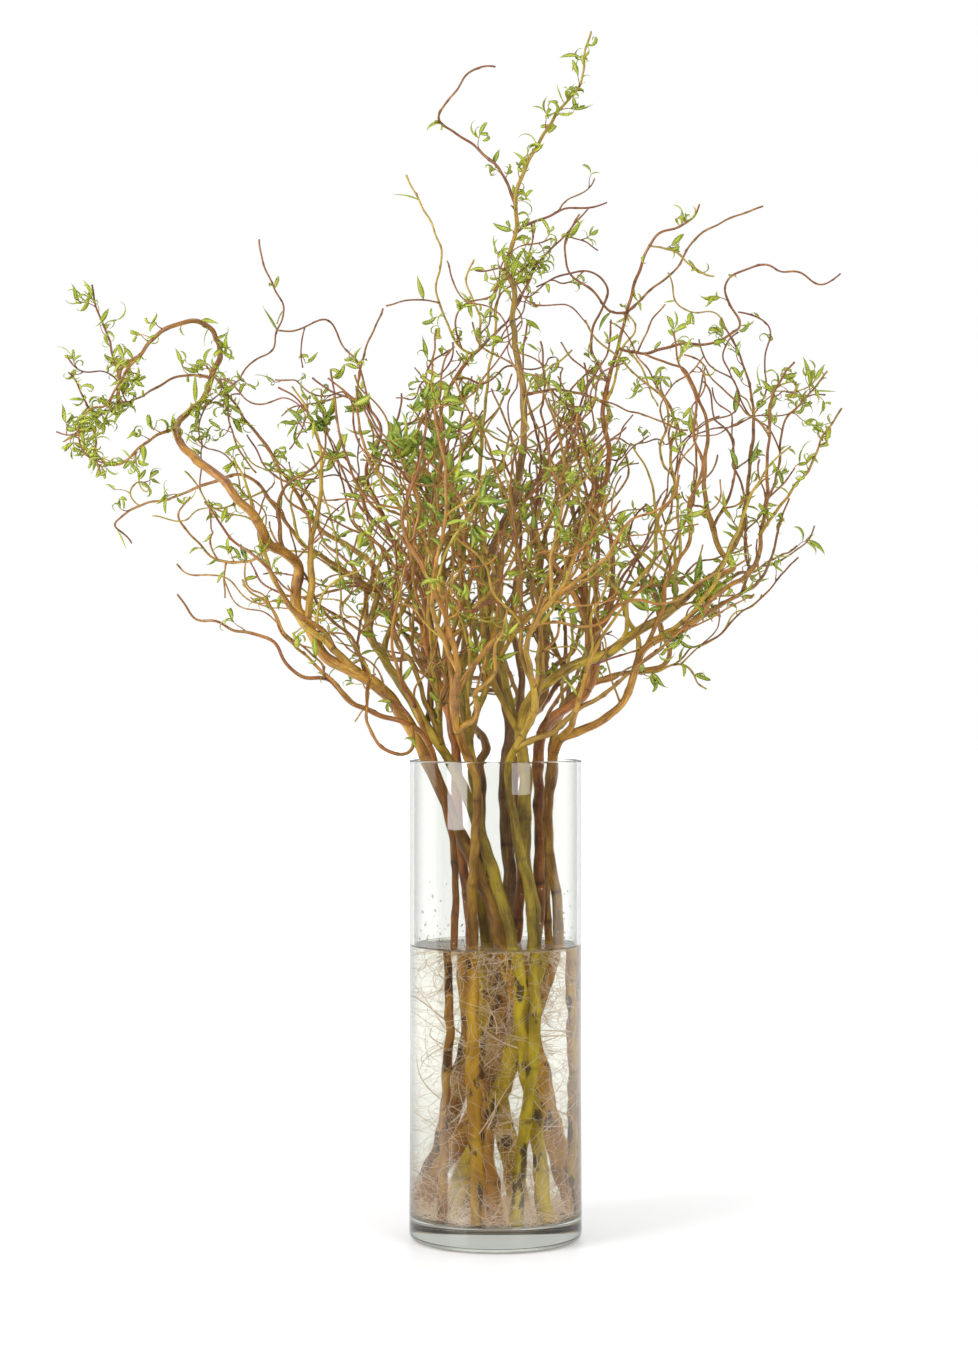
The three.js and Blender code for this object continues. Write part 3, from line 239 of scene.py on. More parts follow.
# Every stem's routes, read from the front: x, depth y and z, from the foot up
STEMS = [
    dict(name="stem_arching_left", bark="golden", radius=6.8, wave=0, boughs=3, twigs=5, points=[
        (50, 16, 21), (2, -14, 262), (-23, -14, 332), (-43, -14, 382), (-58, -14, 415), (-75, -20, 448),
        (-92, -26, 470), (-116, -32, 489), (-137, -34, 497), (-152, -32, 508), (-159, -28, 526),
        (-172, -22, 542), (-174, -18, 562), (-170, -16, 580), (-180, -20, 593), (-196, -28, 602),
        (-205, -36, 618), (-213, -42, 632), (-226, -44, 643), (-236, -42, 657), (-252, -36, 670),
        (-267, -26, 682), (-277, -14, 697), (-276, -2, 710), (-263, 8, 720), (-252, 12, 733),
        (-247, 10, 748), (-240, 4, 766), (-243, -6, 783), (-253, -14, 794), (-268, -20, 797),
        (-286, -22, 791), (-300, -18, 779), (-312, -10, 765), (-326, -2, 755), (-328, 6, 738),
        (-329, 12, 722), (-346, 14, 716), (-353, 8, 706), (-347, 0, 696), (-349, -6, 680),
        (-343, -10, 664),
    ], branches=[
        (1.5, [(-277, 0, 706), (-289, -8, 700), (-302, -14, 693), (-315, -18, 681), (-329, -16, 671),
            (-343, -10, 675), (-350, -4, 688)]),
        (1.4, [(-246, 0, 752), (-262, 10, 750), (-280, 16, 747), (-296, 14, 739), (-311, 6, 729),
            (-327, -4, 726)]),
        (1.3, [(-328, 0, 750), (-334, 12, 772), (-340, 18, 790), (-347, 16, 808), (-352, 10, 828)]),
        (1.3, [(-352, 0, 712), (-358, -12, 728), (-363, -18, 742), (-372, -20, 752)]),
        (1.5, [(-190, 0, 598), (-215, 14, 588), (-245, 22, 589), (-256, 20, 602), (-270, 14, 615),
            (-276, 8, 630), (-266, 4, 644)]),
    ]),
    dict(name="stem_olive_left", bark="olive", radius=6.2, wave=0, boughs=4, twigs=5, points=[
        (40, -40, 21), (13, -27, 265), (-5, -27, 328), (-24, -26, 376), (-42, -26, 415), (-60, -24, 441),
        (-76, -18, 468), (-92, -10, 495), (-107, 0, 518), (-109, 10, 536), (-103, 18, 556),
        (-100, 24, 573), (-112, 28, 590), (-131, 30, 603), (-150, 30, 613), (-163, 28, 629),
        (-175, 24, 650), (-188, 20, 669), (-203, 18, 693), (-216, 20, 709), (-229, 24, 727),
        (-241, 28, 745), (-252, 30, 757),
    ], branches=[
        (2.6, [(-102, 0, 572), (-125, -8, 575), (-150, -14, 591), (-172, -18, 607), (-190, -22, 633),
            (-203, -26, 651), (-222, -28, 664), (-250, -26, 655), (-285, -20, 642), (-307, -14, 637),
            (-320, -10, 631), (-333, -6, 619), (-321, -2, 611), (-317, 2, 603)]),
        (1.6, [(-232, 0, 731), (-222, 10, 748), (-210, 16, 763), (-195, 18, 770), (-190, 14, 788),
            (-184, 8, 805), (-190, 2, 822), (-198, -2, 836), (-204, -4, 851), (-205, -4, 868)]),
        (1.3, [(-229, 0, 727), (-232, -10, 714), (-229, -14, 698), (-222, -14, 682), (-208, -10, 665)]),
    ]),
    dict(name="stem_low_left", bark="brown", radius=3.9, wave=0, boughs=2, twigs=3, points=[
        (-42, -36, 21), (-34, -24, 262), (-37, -26, 330), (-52, -34, 415), (-61, -42, 433),
        (-76, -50, 447), (-96, -56, 452), (-116, -62, 460), (-131, -66, 469), (-144, -68, 485),
        (-165, -68, 486), (-184, -66, 500), (-190, -62, 515), (-203, -58, 523), (-217, -56, 527),
        (-228, -54, 526), (-240, -50, 535), (-262, -46, 537), (-268, -44, 547), (-277, -42, 559),
    ], branches=[
        (1.6, [(-66, 0, 438), (-71, -6, 424), (-88, -10, 419), (-103, -12, 431), (-113, -10, 449),
            (-112, -6, 470), (-114, 0, 490), (-121, 6, 508), (-118, 12, 535), (-112, 16, 556),
            (-126, 22, 585), (-120, 26, 610)]),
        (1.2, [(-144, 0, 485), (-152, -10, 500), (-165, -14, 512), (-178, -12, 520), (-188, -8, 528)]),
    ]),
    dict(name="stem_upper_left", bark="brown", radius=5.8, wave=3, boughs=5, twigs=5, points=[
        (2, -34, 21), (-22, 2, 265), (-30, 6, 340), (-36, 12, 415), (-42, 22, 452), (-50, 34, 490),
        (-61, 44, 527), (-76, 50, 562), (-88, 48, 600), (-100, 40, 638), (-112, 32, 668), (-100, 28, 697),
        (-117, 30, 724), (-145, 34, 735), (-160, 36, 748),
    ], branches=[
        (1.8, [(-118, 0, 725), (-117, 4, 752), (-124, 8, 767), (-135, 10, 777), (-139, 8, 790),
            (-150, 4, 799), (-174, 0, 788), (-189, -2, 788)]),
        (1.5, [(-90, 0, 606), (-113, 12, 628), (-128, 20, 655), (-140, 22, 682), (-150, 20, 712),
            (-152, 14, 738)]),
        (1.6, [(-62, 0, 530), (-88, -16, 552), (-118, -26, 566), (-148, -30, 560), (-176, -30, 556),
            (-204, -28, 570), (-213, -24, 586)]),
    ]),
    dict(name="stem_left_of_centre", bark="olive", radius=5.8, wave=4, boughs=5, twigs=4, points=[
        (14, 34, 21), (-8, 8, 265), (-14, 2, 340), (-20, -4, 415), (-22, -8, 450), (-34, -4, 484),
        (-30, 8, 522), (-44, 14, 560), (-50, 10, 600), (-53, 0, 640), (-50, -10, 680), (-44, -14, 726),
        (-27, -10, 753), (-9, 0, 776), (8, 12, 797), (18, 22, 820),
    ], branches=[
        (1.4, [(-12, 0, 772), (-23, -6, 768), (-36, -10, 781), (-46, -12, 804), (-52, -12, 829),
            (-46, -10, 855), (-52, -8, 873), (-62, -6, 893), (-78, -6, 924)]),
        (1.5, [(-46, 0, 716), (-60, 8, 742), (-57, 14, 760), (-40, 16, 772)]),
        (1.3, [(-6, 0, 780), (-14, 8, 800), (-21, 12, 820), (-27, 12, 832), (-19, 8, 850)]),
    ]),
    dict(name="stem_tall_centre", bark="umber", radius=6.7, wave=0, boughs=4, twigs=5, points=[
        (-14, 4, 21), (14, 4, 265), (11, 6, 340), (10, 8, 415), (14, 12, 442), (8, 20, 472),
        (-2, 28, 502), (-5, 34, 532), (-10, 36, 562), (-6, 32, 590), (3, 24, 612), (14, 14, 636),
        (21, 6, 666), (25, 0, 702), (23, -2, 742), (17, 0, 776), (15, 6, 803), (17, 10, 822),
        (9, 10, 841), (15, 6, 865), (19, 0, 885), (17, -6, 905), (22, -10, 921), (31, -12, 940),
        (43, -10, 961), (56, -6, 981), (70, -2, 997), (77, 2, 1013), (78, 4, 1034), (83, 6, 1049),
    ], branches=[
        (1.8, [(17, 0, 903), (9, 4, 919), (-2, 8, 935), (-18, 10, 949), (-35, 10, 960), (-49, 8, 971),
            (-47, 4, 983), (-34, 0, 997), (-26, -2, 1010), (-12, -4, 1020), (0, -4, 1018)]),
        (1.4, [(18, 0, 875), (30, 6, 882), (46, 10, 888), (62, 12, 895), (80, 12, 895), (97, 10, 900)]),
        (1.6, [(24, 0, 722), (38, -10, 735), (60, -16, 737), (80, -16, 732), (98, -12, 722)]),
    ]),
    dict(name="stem_thick_right", bark="olive", radius=7.1, wave=0, boughs=4, twigs=5, points=[
        (-34, -14, 21), (28, -8, 265), (25, -8, 340), (24, -9, 415), (22, -12, 440), (27, -16, 462),
        (36, -20, 475), (52, -26, 487), (72, -32, 499), (97, -36, 507), (117, -36, 523), (137, -32, 534),
        (158, -26, 549), (176, -18, 566), (195, -12, 574), (208, -6, 583), (196, -2, 595), (190, 0, 613),
        (184, 2, 636), (181, 4, 662), (185, 4, 699), (179, 2, 724), (171, -2, 743), (162, -6, 757),
        (146, -10, 761), (129, -12, 768),
    ], branches=[
        (3.6, [(23, 0, 444), (10, 8, 475), (3, 14, 505), (-6, 20, 540), (-13, 24, 575), (-9, 26, 606),
            (-16, 26, 640), (-13, 24, 680), (-10, 22, 716), (-6, 22, 750), (-1, 24, 784), (2, 28, 815),
            (7, 34, 838)]),
        (2.2, [(158, 0, 549), (157, 16, 572), (155, 24, 596), (143, 28, 614), (138, 28, 640),
            (134, 24, 664), (120, 20, 686)]),
        (1.4, [(189, 0, 615), (198, -10, 634), (206, -14, 652), (210, -14, 668), (204, -12, 680),
            (208, -8, 692), (201, -6, 704)]),
    ]),
    dict(name="stem_upper_right", bark="brown", radius=6.0, wave=0, boughs=5, twigs=6, points=[
        (-50, 18, 21), (36, 14, 265), (37, 12, 340), (38, 8, 415), (40, 6, 441), (54, 8, 455),
        (72, 14, 466), (83, 22, 482), (88, 30, 504), (85, 36, 526), (79, 38, 550), (77, 36, 576),
        (80, 30, 602), (86, 22, 630), (97, 14, 660), (98, 8, 690), (93, 6, 716), (98, 8, 744),
        (106, 10, 772), (112, 8, 796), (118, 4, 818), (125, 0, 841), (132, -2, 859), (142, -4, 873),
        (159, -4, 879), (173, -2, 887), (178, 0, 898),
    ], branches=[
        (2.2, [(105, 0, 768), (128, -8, 768), (145, -12, 773), (166, -14, 777), (188, -14, 777),
            (203, -12, 784), (213, -8, 792), (206, -2, 809), (198, 2, 824), (204, 4, 836), (222, 4, 842),
            (238, 2, 848), (248, -2, 838), (261, -4, 841), (275, -4, 832), (287, -2, 828),
            (300, 0, 838)]),
        (1.5, [(118, 0, 814), (133, 8, 822), (151, 12, 836), (165, 14, 854), (173, 12, 868),
            (188, 8, 879), (210, 4, 888), (233, 2, 897)]),
        (1.4, [(98, 0, 744), (84, 8, 770), (86, 14, 796), (99, 18, 822), (88, 18, 838), (60, 16, 838),
            (36, 12, 826)]),
        (1.4, [(112, 0, 796), (98, -8, 806), (82, -14, 826), (64, -16, 838), (60, -14, 862),
            (66, -12, 878), (73, -12, 890)]),
        (1.3, [(131, 0, 857), (146, 8, 860), (160, 12, 856), (170, 12, 845), (180, 10, 837),
            (190, 8, 836)]),
    ]),
    dict(name="stem_low_right", bark="golden", radius=5.4, wave=0, boughs=3, twigs=5, points=[
        (57, -6, 21), (54, -6, 265), (47, -10, 340), (50, -18, 415), (54, -24, 430), (64, -30, 438),
        (85, -36, 444), (103, -40, 457), (116, -42, 473), (121, -42, 492), (128, -42, 511),
        (142, -42, 520), (160, -42, 526), (178, -40, 540), (189, -36, 557), (207, -30, 568),
        (221, -22, 578), (230, -16, 593), (230, -12, 610), (236, -10, 634), (236, -12, 660),
        (238, -16, 698), (241, -18, 732), (250, -16, 749), (260, -12, 761),
    ], branches=[
        (1.6, [(236, 0, 636), (243, 10, 655), (247, 16, 676), (248, 18, 694), (253, 16, 712),
            (269, 10, 729), (280, 6, 741), (289, 4, 753)]),
        (1.6, [(233, 0, 622), (249, -10, 638), (262, -16, 654), (273, -18, 668), (280, -16, 686),
            (290, -12, 704), (301, -10, 721)]),
        (1.3, [(240, 0, 726), (246, 12, 740), (258, 16, 746), (262, 12, 738), (254, 8, 730)]),
    ]),
    dict(name="stem_right_of_centre", bark="golden", radius=4.7, wave=0, boughs=3, twigs=4, points=[
        (38, 44, 21), (46, 30, 265), (45, 28, 340), (47, 27, 415), (52, 30, 440), (62, 36, 466),
        (84, 42, 482), (105, 44, 489), (125, 42, 492), (146, 38, 497), (153, 34, 508), (146, 30, 522),
        (141, 28, 541), (146, 30, 560), (152, 36, 584), (146, 44, 608), (153, 50, 634), (156, 52, 662),
    ], branches=[
        (1.5, [(120, 0, 491), (137, -12, 491), (152, -16, 497), (165, -16, 498), (173, -12, 488),
            (177, -8, 480), (183, -6, 476)]),
        (1.7, [(154, 0, 650), (166, 6, 692), (188, 10, 703), (214, 10, 707), (229, 8, 721), (236, 6, 742),
            (234, 4, 768), (240, 4, 789), (231, 4, 800), (211, 4, 804)]),
        (1.6, [(156, 0, 660), (163, -6, 692), (187, -8, 710), (208, -8, 716), (212, -6, 736),
            (204, -4, 751), (197, -2, 766), (201, 0, 778), (211, 2, 787)]),
    ]),
    dict(name="stem_back_right", bark="brown", radius=5.4, wave=12, boughs=5, twigs=3, points=[
        (-22, 50, 21), (20, 26, 265), (20, 36, 340), (18, 45, 415), (30, 66, 470), (44, 99, 530),
        (62, 126, 590), (58, 148, 650), (78, 165, 705), (66, 178, 760),
    ], branches=[]),
    dict(name="stem_back_left", bark="umber", radius=5.4, wave=12, boughs=5, twigs=3, points=[
        (-38, 36, 21), (-4, 28, 265), (-10, 36, 340), (-16, 44, 415), (-36, 64, 470), (-62, 94, 530),
        (-76, 123, 585), (-104, 144, 640), (-104, 165, 690), (-84, 173, 735),
    ], branches=[]),
    dict(name="stem_front_left", bark="golden", radius=5.4, wave=11, boughs=5, twigs=3, points=[
        (-14, -56, 21), (-18, -18, 265), (-18, -34, 340), (-16, -47, 415), (-32, -66, 470),
        (-50, -94, 525), (-52, -123, 580), (-78, -144, 630), (-76, -165, 680), (-56, -178, 728),
    ], branches=[]),
    dict(name="stem_front_right", bark="olive", radius=5.2, wave=11, boughs=5, twigs=3, points=[
        (16, -55, 21), (30, -30, 265), (20, -36, 340), (12, -44, 415), (24, -64, 465), (36, -92, 515),
        (62, -118, 565), (62, -141, 615), (88, -156, 660), (80, -173, 715),
    ], branches=[]),
]


class Draws:
    """Seeded draws, the same on every run."""

    def __init__(self, seed):
        self.state = seed

    def __call__(self):
        self.state = (self.state * 1664525 + 1013904223) & 0xFFFFFFFF
        return self.state / 4294967296

    def between(self, limits):
        return limits[0] + (limits[1] - limits[0]) * self()


def unit(v):
    return v / max(math.sqrt(float(v @ v)), 1e-12)


def from_front(x, y, z):
    """A point read from the front, moved along its line of sight to its depth."""
    scale = (EYE_DISTANCE + y) / EYE_DISTANCE
    return np.array([EYE_X + (x - EYE_X) * scale, y, EYE_Z + (z - EYE_Z) * scale])


def seen(points):
    """Where points show when they are looked at from the front."""
    scale = EYE_DISTANCE / (EYE_DISTANCE + points[..., 1])
    return EYE_X + (points[..., 0] - EYE_X) * scale, EYE_Z + (points[..., 2] - EYE_Z) * scale


def opened_out(x, y, z):
    """The same for a stem, whose depth opens out above the rim."""
    risen = min(max((z - HEIGHT) / DEPTH["over"], 0.0), 1.0)
    shallow = max(0.0, 1 - abs(y) / DEPTH["limit"])
    return from_front(x, y * (1 + DEPTH["gain"] * risen * shallow), z)


def smooth_curve(points, divisions=CURVE_DIVISIONS):
    """A centripetal Catmull-Rom curve through points, with so many steps between two of them."""
    points = np.asarray(points, float)
    run = np.vstack([2 * points[0] - points[1], points, 2 * points[-1] - points[-2]])
    weights = np.arange(divisions)[:, None] / divisions
    result = []
    for i in range(1, len(run) - 2):
        p0, p1, p2, p3 = run[i - 1:i + 3]
        d0, d1, d2 = (((b - a) @ (b - a)) ** 0.25 for a, b in ((p0, p1), (p1, p2), (p2, p3)))
        d1 = d1 if d1 >= 1e-4 else 1.0
        d0 = d0 if d0 >= 1e-4 else d1
        d2 = d2 if d2 >= 1e-4 else d1
        t1 = ((p1 - p0) / d0 - (p2 - p0) / (d0 + d1) + (p2 - p1) / d1) * d1
        t2 = ((p2 - p1) / d1 - (p3 - p1) / (d1 + d2) + (p3 - p2) / d2) * d1
        c2 = -3 * p1 + 3 * p2 - 2 * t1 - t2
        c3 = 2 * p1 - 2 * p2 + t1 + t2
        result.append(p1 + weights * t1 + weights ** 2 * c2 + weights ** 3 * c3)
    return np.vstack([*result, points[-1:]])


def cost_run(fine):
    """How far along each point of a curve is, where steps below the rim count for less."""
    share = np.where(fine[1:, 2] < HEIGHT, VASE_STEP, 1.0)
    return np.concatenate([[0.0], np.cumsum(share * np.linalg.norm(np.diff(fine, axis=0), axis=1))])


def run_of(line):
    """How far along each point of a line is."""
    return np.concatenate([[0.0], np.cumsum(np.linalg.norm(np.diff(line, axis=0), axis=1))])


def along(table, run, at):
    """Points of a table at places along its run."""
    return np.stack([np.interp(at, run, column) for column in table.T], axis=1)


class Length:
    """A length of wood: coarse points as in the part, and a fine curve that the looks use."""

    def __init__(self, owner, kind, points, radius, curve=None):
        self.owner = owner
        self.kind = kind
        self.points = points
        self.radius = radius
        self.curve = curve
        self.radii = self.radius_at(np.arange(len(points)) / (len(points) - 1))

    def radius_at(self, share):
        tip = WOOD[self.kind]["tip"]
        return tip + (self.radius - tip) * (1 - share) ** THINNING


def spaced(owner, kind, control, radius, wave=None):
    """A length at even steps along a smooth curve, with a corkscrew wave laid over a stem."""
    fine = smooth_curve(control)
    run = cost_run(fine)
    count = max(2, round(run[-1] / WOOD[kind]["step"] + 1e-9))
    goals = run[-1] * np.arange(count + 1) / count
    points = along(fine, run, goals)
    if wave is not None:
        points = waved(points, np.arange(count + 1), owner, wave)
        fine = waved(fine, run / run[-1] * count, owner, wave)
    length = Length(owner, kind, points.copy(), radius, (fine, run / run[-1] * count))
    length.unbent = points
    return length


def waved(points, place, owner, above):
    size = np.where(points[:, 2] < HEIGHT, WAVE_IN_VASE, above) * np.minimum(1.0, place / 2)
    angle = owner * COIL_PHASE + 2 * math.pi * points[:, 2] / WAVE_LENGTH
    return points + np.stack([size * np.cos(angle), size * np.sin(angle), np.zeros(len(points))], axis=1)


class Segments:
    """The segments of some lengths, as arrays."""

    def __init__(self, lengths):
        self.a = np.vstack([length.points[:-1] for length in lengths])
        self.b = np.vstack([length.points[1:] for length in lengths])
        self.radius = np.concatenate([np.maximum(one.radii[:-1], one.radii[1:]) for one in lengths])
        self.owner = np.concatenate([np.full(len(one.points) - 1, one.owner) for one in lengths])
        self.middle = (self.a + self.b) / 2
        self.reach = np.linalg.norm(self.b - self.a, axis=1) / 2

    def add(self, other):
        for name in ("a", "b", "radius", "owner", "middle", "reach"):
            setattr(self, name, np.concatenate([getattr(self, name), getattr(other, name)]))


def nearest(a, b, c, d):
    """The nearest points of pairs of segments, as shares along them, and the gap between them."""
    u, v, w = b - a, d - c, a - c
    uu, vv, uv = (u * u).sum(1), (v * v).sum(1), (u * v).sum(1)
    uw, vw = (u * w).sum(1), (v * w).sum(1)
    spread = uu * vv - uv * uv
    askew = spread > 1e-9
    s = np.where(askew, np.clip((uv * vw - vv * uw) / np.where(askew, spread, 1), 0, 1), 0)
    t = np.clip((uv * s + vw) / vv, 0, 1)
    s = np.clip((uv * t - uw) / uu, 0, 1)
    return s, t, (a + s[:, None] * u) - (c + t[:, None] * v)


def bend_clear(moving, fixed, room):
    """Bends wood clear of the wood of other stems, and of what is fixed already."""
    starts = np.cumsum([0] + [len(length.points) for length in moving])
    own = Segments(moving)
    node = np.concatenate([start + np.arange(len(one.points) - 1) for start, one in zip(starts, moving)])
    count = len(own.radius)
    everything = Segments(moving + fixed)
    i, j = np.triu_indices(count, 1, len(everything.radius))
    apart = everything.owner[i] != everything.owner[j]
    i, j = i[apart], j[apart]
    for _ in range(BENDING["rounds"]):
        everything = Segments(moving + fixed)
        need = everything.radius[i] + everything.radius[j] + room
        far = need + everything.reach[i] + everything.reach[j]
        close = ((everything.middle[i] - everything.middle[j]) ** 2).sum(1) <= far * far
        p, q, need = i[close], j[close], need[close]
        s, t, gap = nearest(everything.a[p], everything.b[p], everything.a[q], everything.b[q])
        distance = np.linalg.norm(gap, axis=1)
        short = distance < need
        if not short.any():
            return
        p, q, s, t, gap, distance = (value[short] for value in (p, q, s, t, gap, distance))
        away = gap / np.maximum(distance, 1e-9)[:, None]
        away = np.where(distance[:, None] > 1e-6, away, [0.0, 1.0, 0.0])
        both = q < count
        push = ((need[short] - distance) * BENDING["share"] * np.where(both, 0.5, 1.0))[:, None] * away
        shift = np.zeros((starts[-1], 3))
        np.add.at(shift, node[p], push * (1 - s)[:, None])
        np.add.at(shift, node[p] + 1, push * s[:, None])
        other = node[q[both]]
        np.add.at(shift, other, -push[both] * (1 - t[both])[:, None])
        np.add.at(shift, other + 1, -push[both] * t[both][:, None])
        for length, start in zip(moving, starts):
            own_shift = shift[start:start + len(length.points)]
            before = np.vstack([own_shift[:1], own_shift[:-1]])
            after = np.vstack([own_shift[1:], own_shift[-1:]])
            moved = BENDING["own"] * own_shift + BENDING["beside"] * (before + after)
            if length.kind == "stem":
                moved[0, 2] = 0
            else:
                moved[0] = 0
            length.points += moved
            if length.kind == "stem":
                keep_in_bore(length.points, length.radii)


def keep_in_bore(points, radii):
    low = points[:, 2] < FLOOR + 2 * FLOOR_ROUND
    limit = BORE - radii - BENDING["off_glass"] - np.where(low, FLOOR_ROUND, 0)
    out = np.hypot(points[:, 0], points[:, 1])
    over = (points[:, 2] <= HEIGHT + radii) & (out > limit)
    points[over, :2] *= (limit[over] / out[over])[:, None]


def is_clear(length, placed, room):
    """True where a length keeps clear of all the wood and leaves of other stems."""
    for k in range(len(length.points) - 1):
        a, b = length.points[k], length.points[k + 1]
        need = max(length.radii[k], length.radii[k + 1]) + placed.radius + room
        far = need + np.linalg.norm(b - a) / 2 + placed.reach
        close = ((placed.middle - (a + b) / 2) ** 2).sum(1) <= far * far
        close &= placed.owner != length.owner
        if close.any():
            c, d = placed.a[close], placed.b[close]
            gap = nearest(np.broadcast_to(a, c.shape), np.broadcast_to(b, c.shape), c, d)[2]
            if (np.linalg.norm(gap, axis=1) < need[close]).any():
                return False
    return True


def wander(start, heading, count, step, curl, lift, draw):
    """A curling run of points from a start and a heading."""
    points = [start]
    direction = unit(heading)
    turn = draw.between(TURN) * (-1 if draw() < 0.5 else 1)
    phase = 2 * math.pi * draw()
    for _ in range(count):
        side = unit(np.cross(direction, UP))
        other = np.cross(direction, side)
        direction = direction + side * curl * math.cos(phase) + other * curl * math.sin(phase)
        direction[2] += lift
        direction = unit(direction)
        points.append(points[-1] + direction * step)
        phase += turn
    return np.array(points)


def leaving(direction, angle, lean):
    """A heading that leaves some wood sideways, turned about it by an angle."""
    side = unit(np.cross(direction, UP))
    other = unit(np.cross(side, direction))
    return unit(direction * lean + side * math.cos(angle) + other * math.sin(angle))


def hosts_on(lengths, low, high):
    """Points on some wood where a shoot, root or leaf can start."""
    hosts = []
    for length in lengths:
        for k in range(1, len(length.points) - 1):
            if low <= length.points[k, 2] <= high:
                direction = unit(length.points[k + 1] - length.points[k - 1])
                hosts.append((length.points[k], direction, length.radii[k]))
    return hosts


def in_crown(points):
    inside = (((points - CROWN_CENTRE) / CROWN_RADII) ** 2).sum(1) < 1
    return bool((inside & (points[:, 2] > RISE)).all())


def in_water(points):
    inside = np.hypot(points[:, 0], points[:, 1]) < BORE - ROOT_ROOM["wall"]
    above = points[:, 2] > FLOOR + ROOT_ROOM["floor"]
    return bool((inside & above & (points[:, 2] < WATER_LEVEL - ROOT_ROOM["surface"])).all())


def grow(owner, kind, spec, count, hosts, placed, allowed, draw):
    """Shoots or roots of one kind, spread over the hosts, each drawn again until it is clear."""
    grown = []
    step = WOOD[kind]["step"]
    for n in range(count if hosts else 0):
        for _ in range(spec["tries"]):
            point, direction, radius = hosts[int((n + draw()) / count * len(hosts))]
            heading = leaving(direction, 2 * math.pi * draw(), LEAN[kind])
            steps = max(2, math.floor(draw.between(spec["length"]) / step + 0.5))
            points = wander(point, heading, steps, step, spec["curl"], spec["lift"], draw)
            shoot = Length(owner, kind, points, min(spec["radius"], radius * SLIMMER))
            if allowed(points[1:]) and is_clear(shoot, placed, WOOD[kind]["room"]):
                grown.append(shoot)
                placed.add(Segments([shoot]))
                break
    return grown


class Leaf:
    """A leaf of the part: its base, heading, size and curl."""

    def __init__(self, owner, host, draw):
        self.owner = owner
        self.base, direction, _ = host
        self.size = draw.between(LEAF_LENGTH)
        self.heading = leaving(direction, 2 * math.pi * draw(), LEAN["leaf"])
        over = unit(np.cross(unit(np.cross(self.heading, UP)), self.heading))
        self.curl = draw.between(LEAF_CURL)
        self.half = draw.between(LEAF_WIDTH) / 2
        share = np.array(LEAF_AT)[:, None]
        bent = -self.size * self.curl * share * share * over
        self.points = self.base + self.heading * self.size * share + bent
        self.radii = self.half * np.array(LEAF_OUTLINE)


def grow_part():
    """Every length of wood and every leaf of the part, in the order that the part draws them."""
    mains = []
    for owner, stem in enumerate(STEMS):
        control = [opened_out(*point) for point in stem["points"]]
        control[0][2] = FLOOR + GAP
        mains.append(spaced(owner, "stem", control, stem["radius"], stem["wave"]))
    bend_clear(mains, [], WOOD["stem"]["room"])
    branches = []
    for owner, (stem, main) in enumerate(zip(STEMS, mains)):
        seen_x, seen_z = seen(main.points)
        for radius, route in stem["branches"]:
            at = int(np.argmin(np.hypot(seen_x - route[0][0], seen_z - route[0][2])))
            root = main.points[at]
            control = [from_front(x, root[1] + y * DEPTH["branches"], z) for x, y, z in route]
            control[0] = root.copy()
            radius = min(radius, main.radii[at] * SLIMMER)
            branches.append(spaced(owner, "branch", control, radius))
    bend_clear(branches, mains, WOOD["branch"]["room"])

    placed = Segments(mains + branches)
    draw = Draws(SEED)
    lengths = mains + branches

    def grow_all(kind, spec, count_of, limits, allowed):
        for owner, stem in enumerate(STEMS):
            own = [length for length in lengths if length.owner == owner and length.kind != "root"]
            hosts = hosts_on(own, *limits)
            lengths.extend(grow(owner, kind, spec, count_of(stem), hosts, placed, allowed, draw))

    grow_all("bough", BOUGH, lambda stem: stem["boughs"], BOUGHS_LEAVE, in_crown)
    grow_all("twig", TWIG, lambda stem: stem["twigs"], TWIGS_LEAVE, in_crown)
    grow_all("root", ROOT, lambda stem: ROOTS_PER_STEM, ROOTS_LEAVE, in_water)

    leaves = []
    for owner in range(len(STEMS)):
        slim = [one for one in lengths if one.owner == owner and one.kind not in ("root", "stem")]
        hosts = hosts_on(slim, RISE, math.inf)
        for n in range(LEAVES_PER_STEM):
            for _ in range(LEAF_TRIES):
                host = hosts[int((n + draw()) / LEAVES_PER_STEM * len(hosts))]
                leaf = Leaf(owner, host, draw)
                if is_clear(leaf, placed, WOOD["twig"]["room"]):
                    leaves.append(leaf)
                    placed.add(Segments([leaf]))
                    break
    return lengths, leaves


def fine_run(length, step):
    """A length's middle line in even fine steps, with the share of its length at each."""
    if length.curve is None:
        fine = smooth_curve(length.points, FINE_DIVISIONS)
        place = np.arange(len(fine)) / FINE_DIVISIONS
    else:
        fine, place = length.curve
        shift = length.points - length.unbent
        fine = fine + along(shift, np.arange(len(shift)), place)
    run = run_of(fine)
    goals = np.linspace(0, run[-1], max(4, round(run[-1] / step)) + 1)
    share = np.interp(goals, run, place) / place[-1]
    line = along(fine, run, goals)
    for _ in range(SMOOTHING):
        line[1:-1] = (line[:-2] + 2 * line[1:-1] + line[2:]) / 4
    return line, share


def frames_along(line):
    """The heading at each point of a line, and two normals that turn with it."""
    heading = np.gradient(line, axis=0)
    heading /= np.linalg.norm(heading, axis=1)[:, None]
    normal = np.empty_like(heading)
    kept = np.array(ASKEW)
    for i, ahead in enumerate(heading):
        kept = unit(kept - ahead * (kept @ ahead))
        normal[i] = kept
    return heading, normal, np.cross(heading, normal)


def around(normal, across, angle):
    """The ways out of a line at each of its points, at some angles about it."""
    return normal[:, None] * np.cos(angle)[:, None] + across[:, None] * np.sin(angle)[:, None]


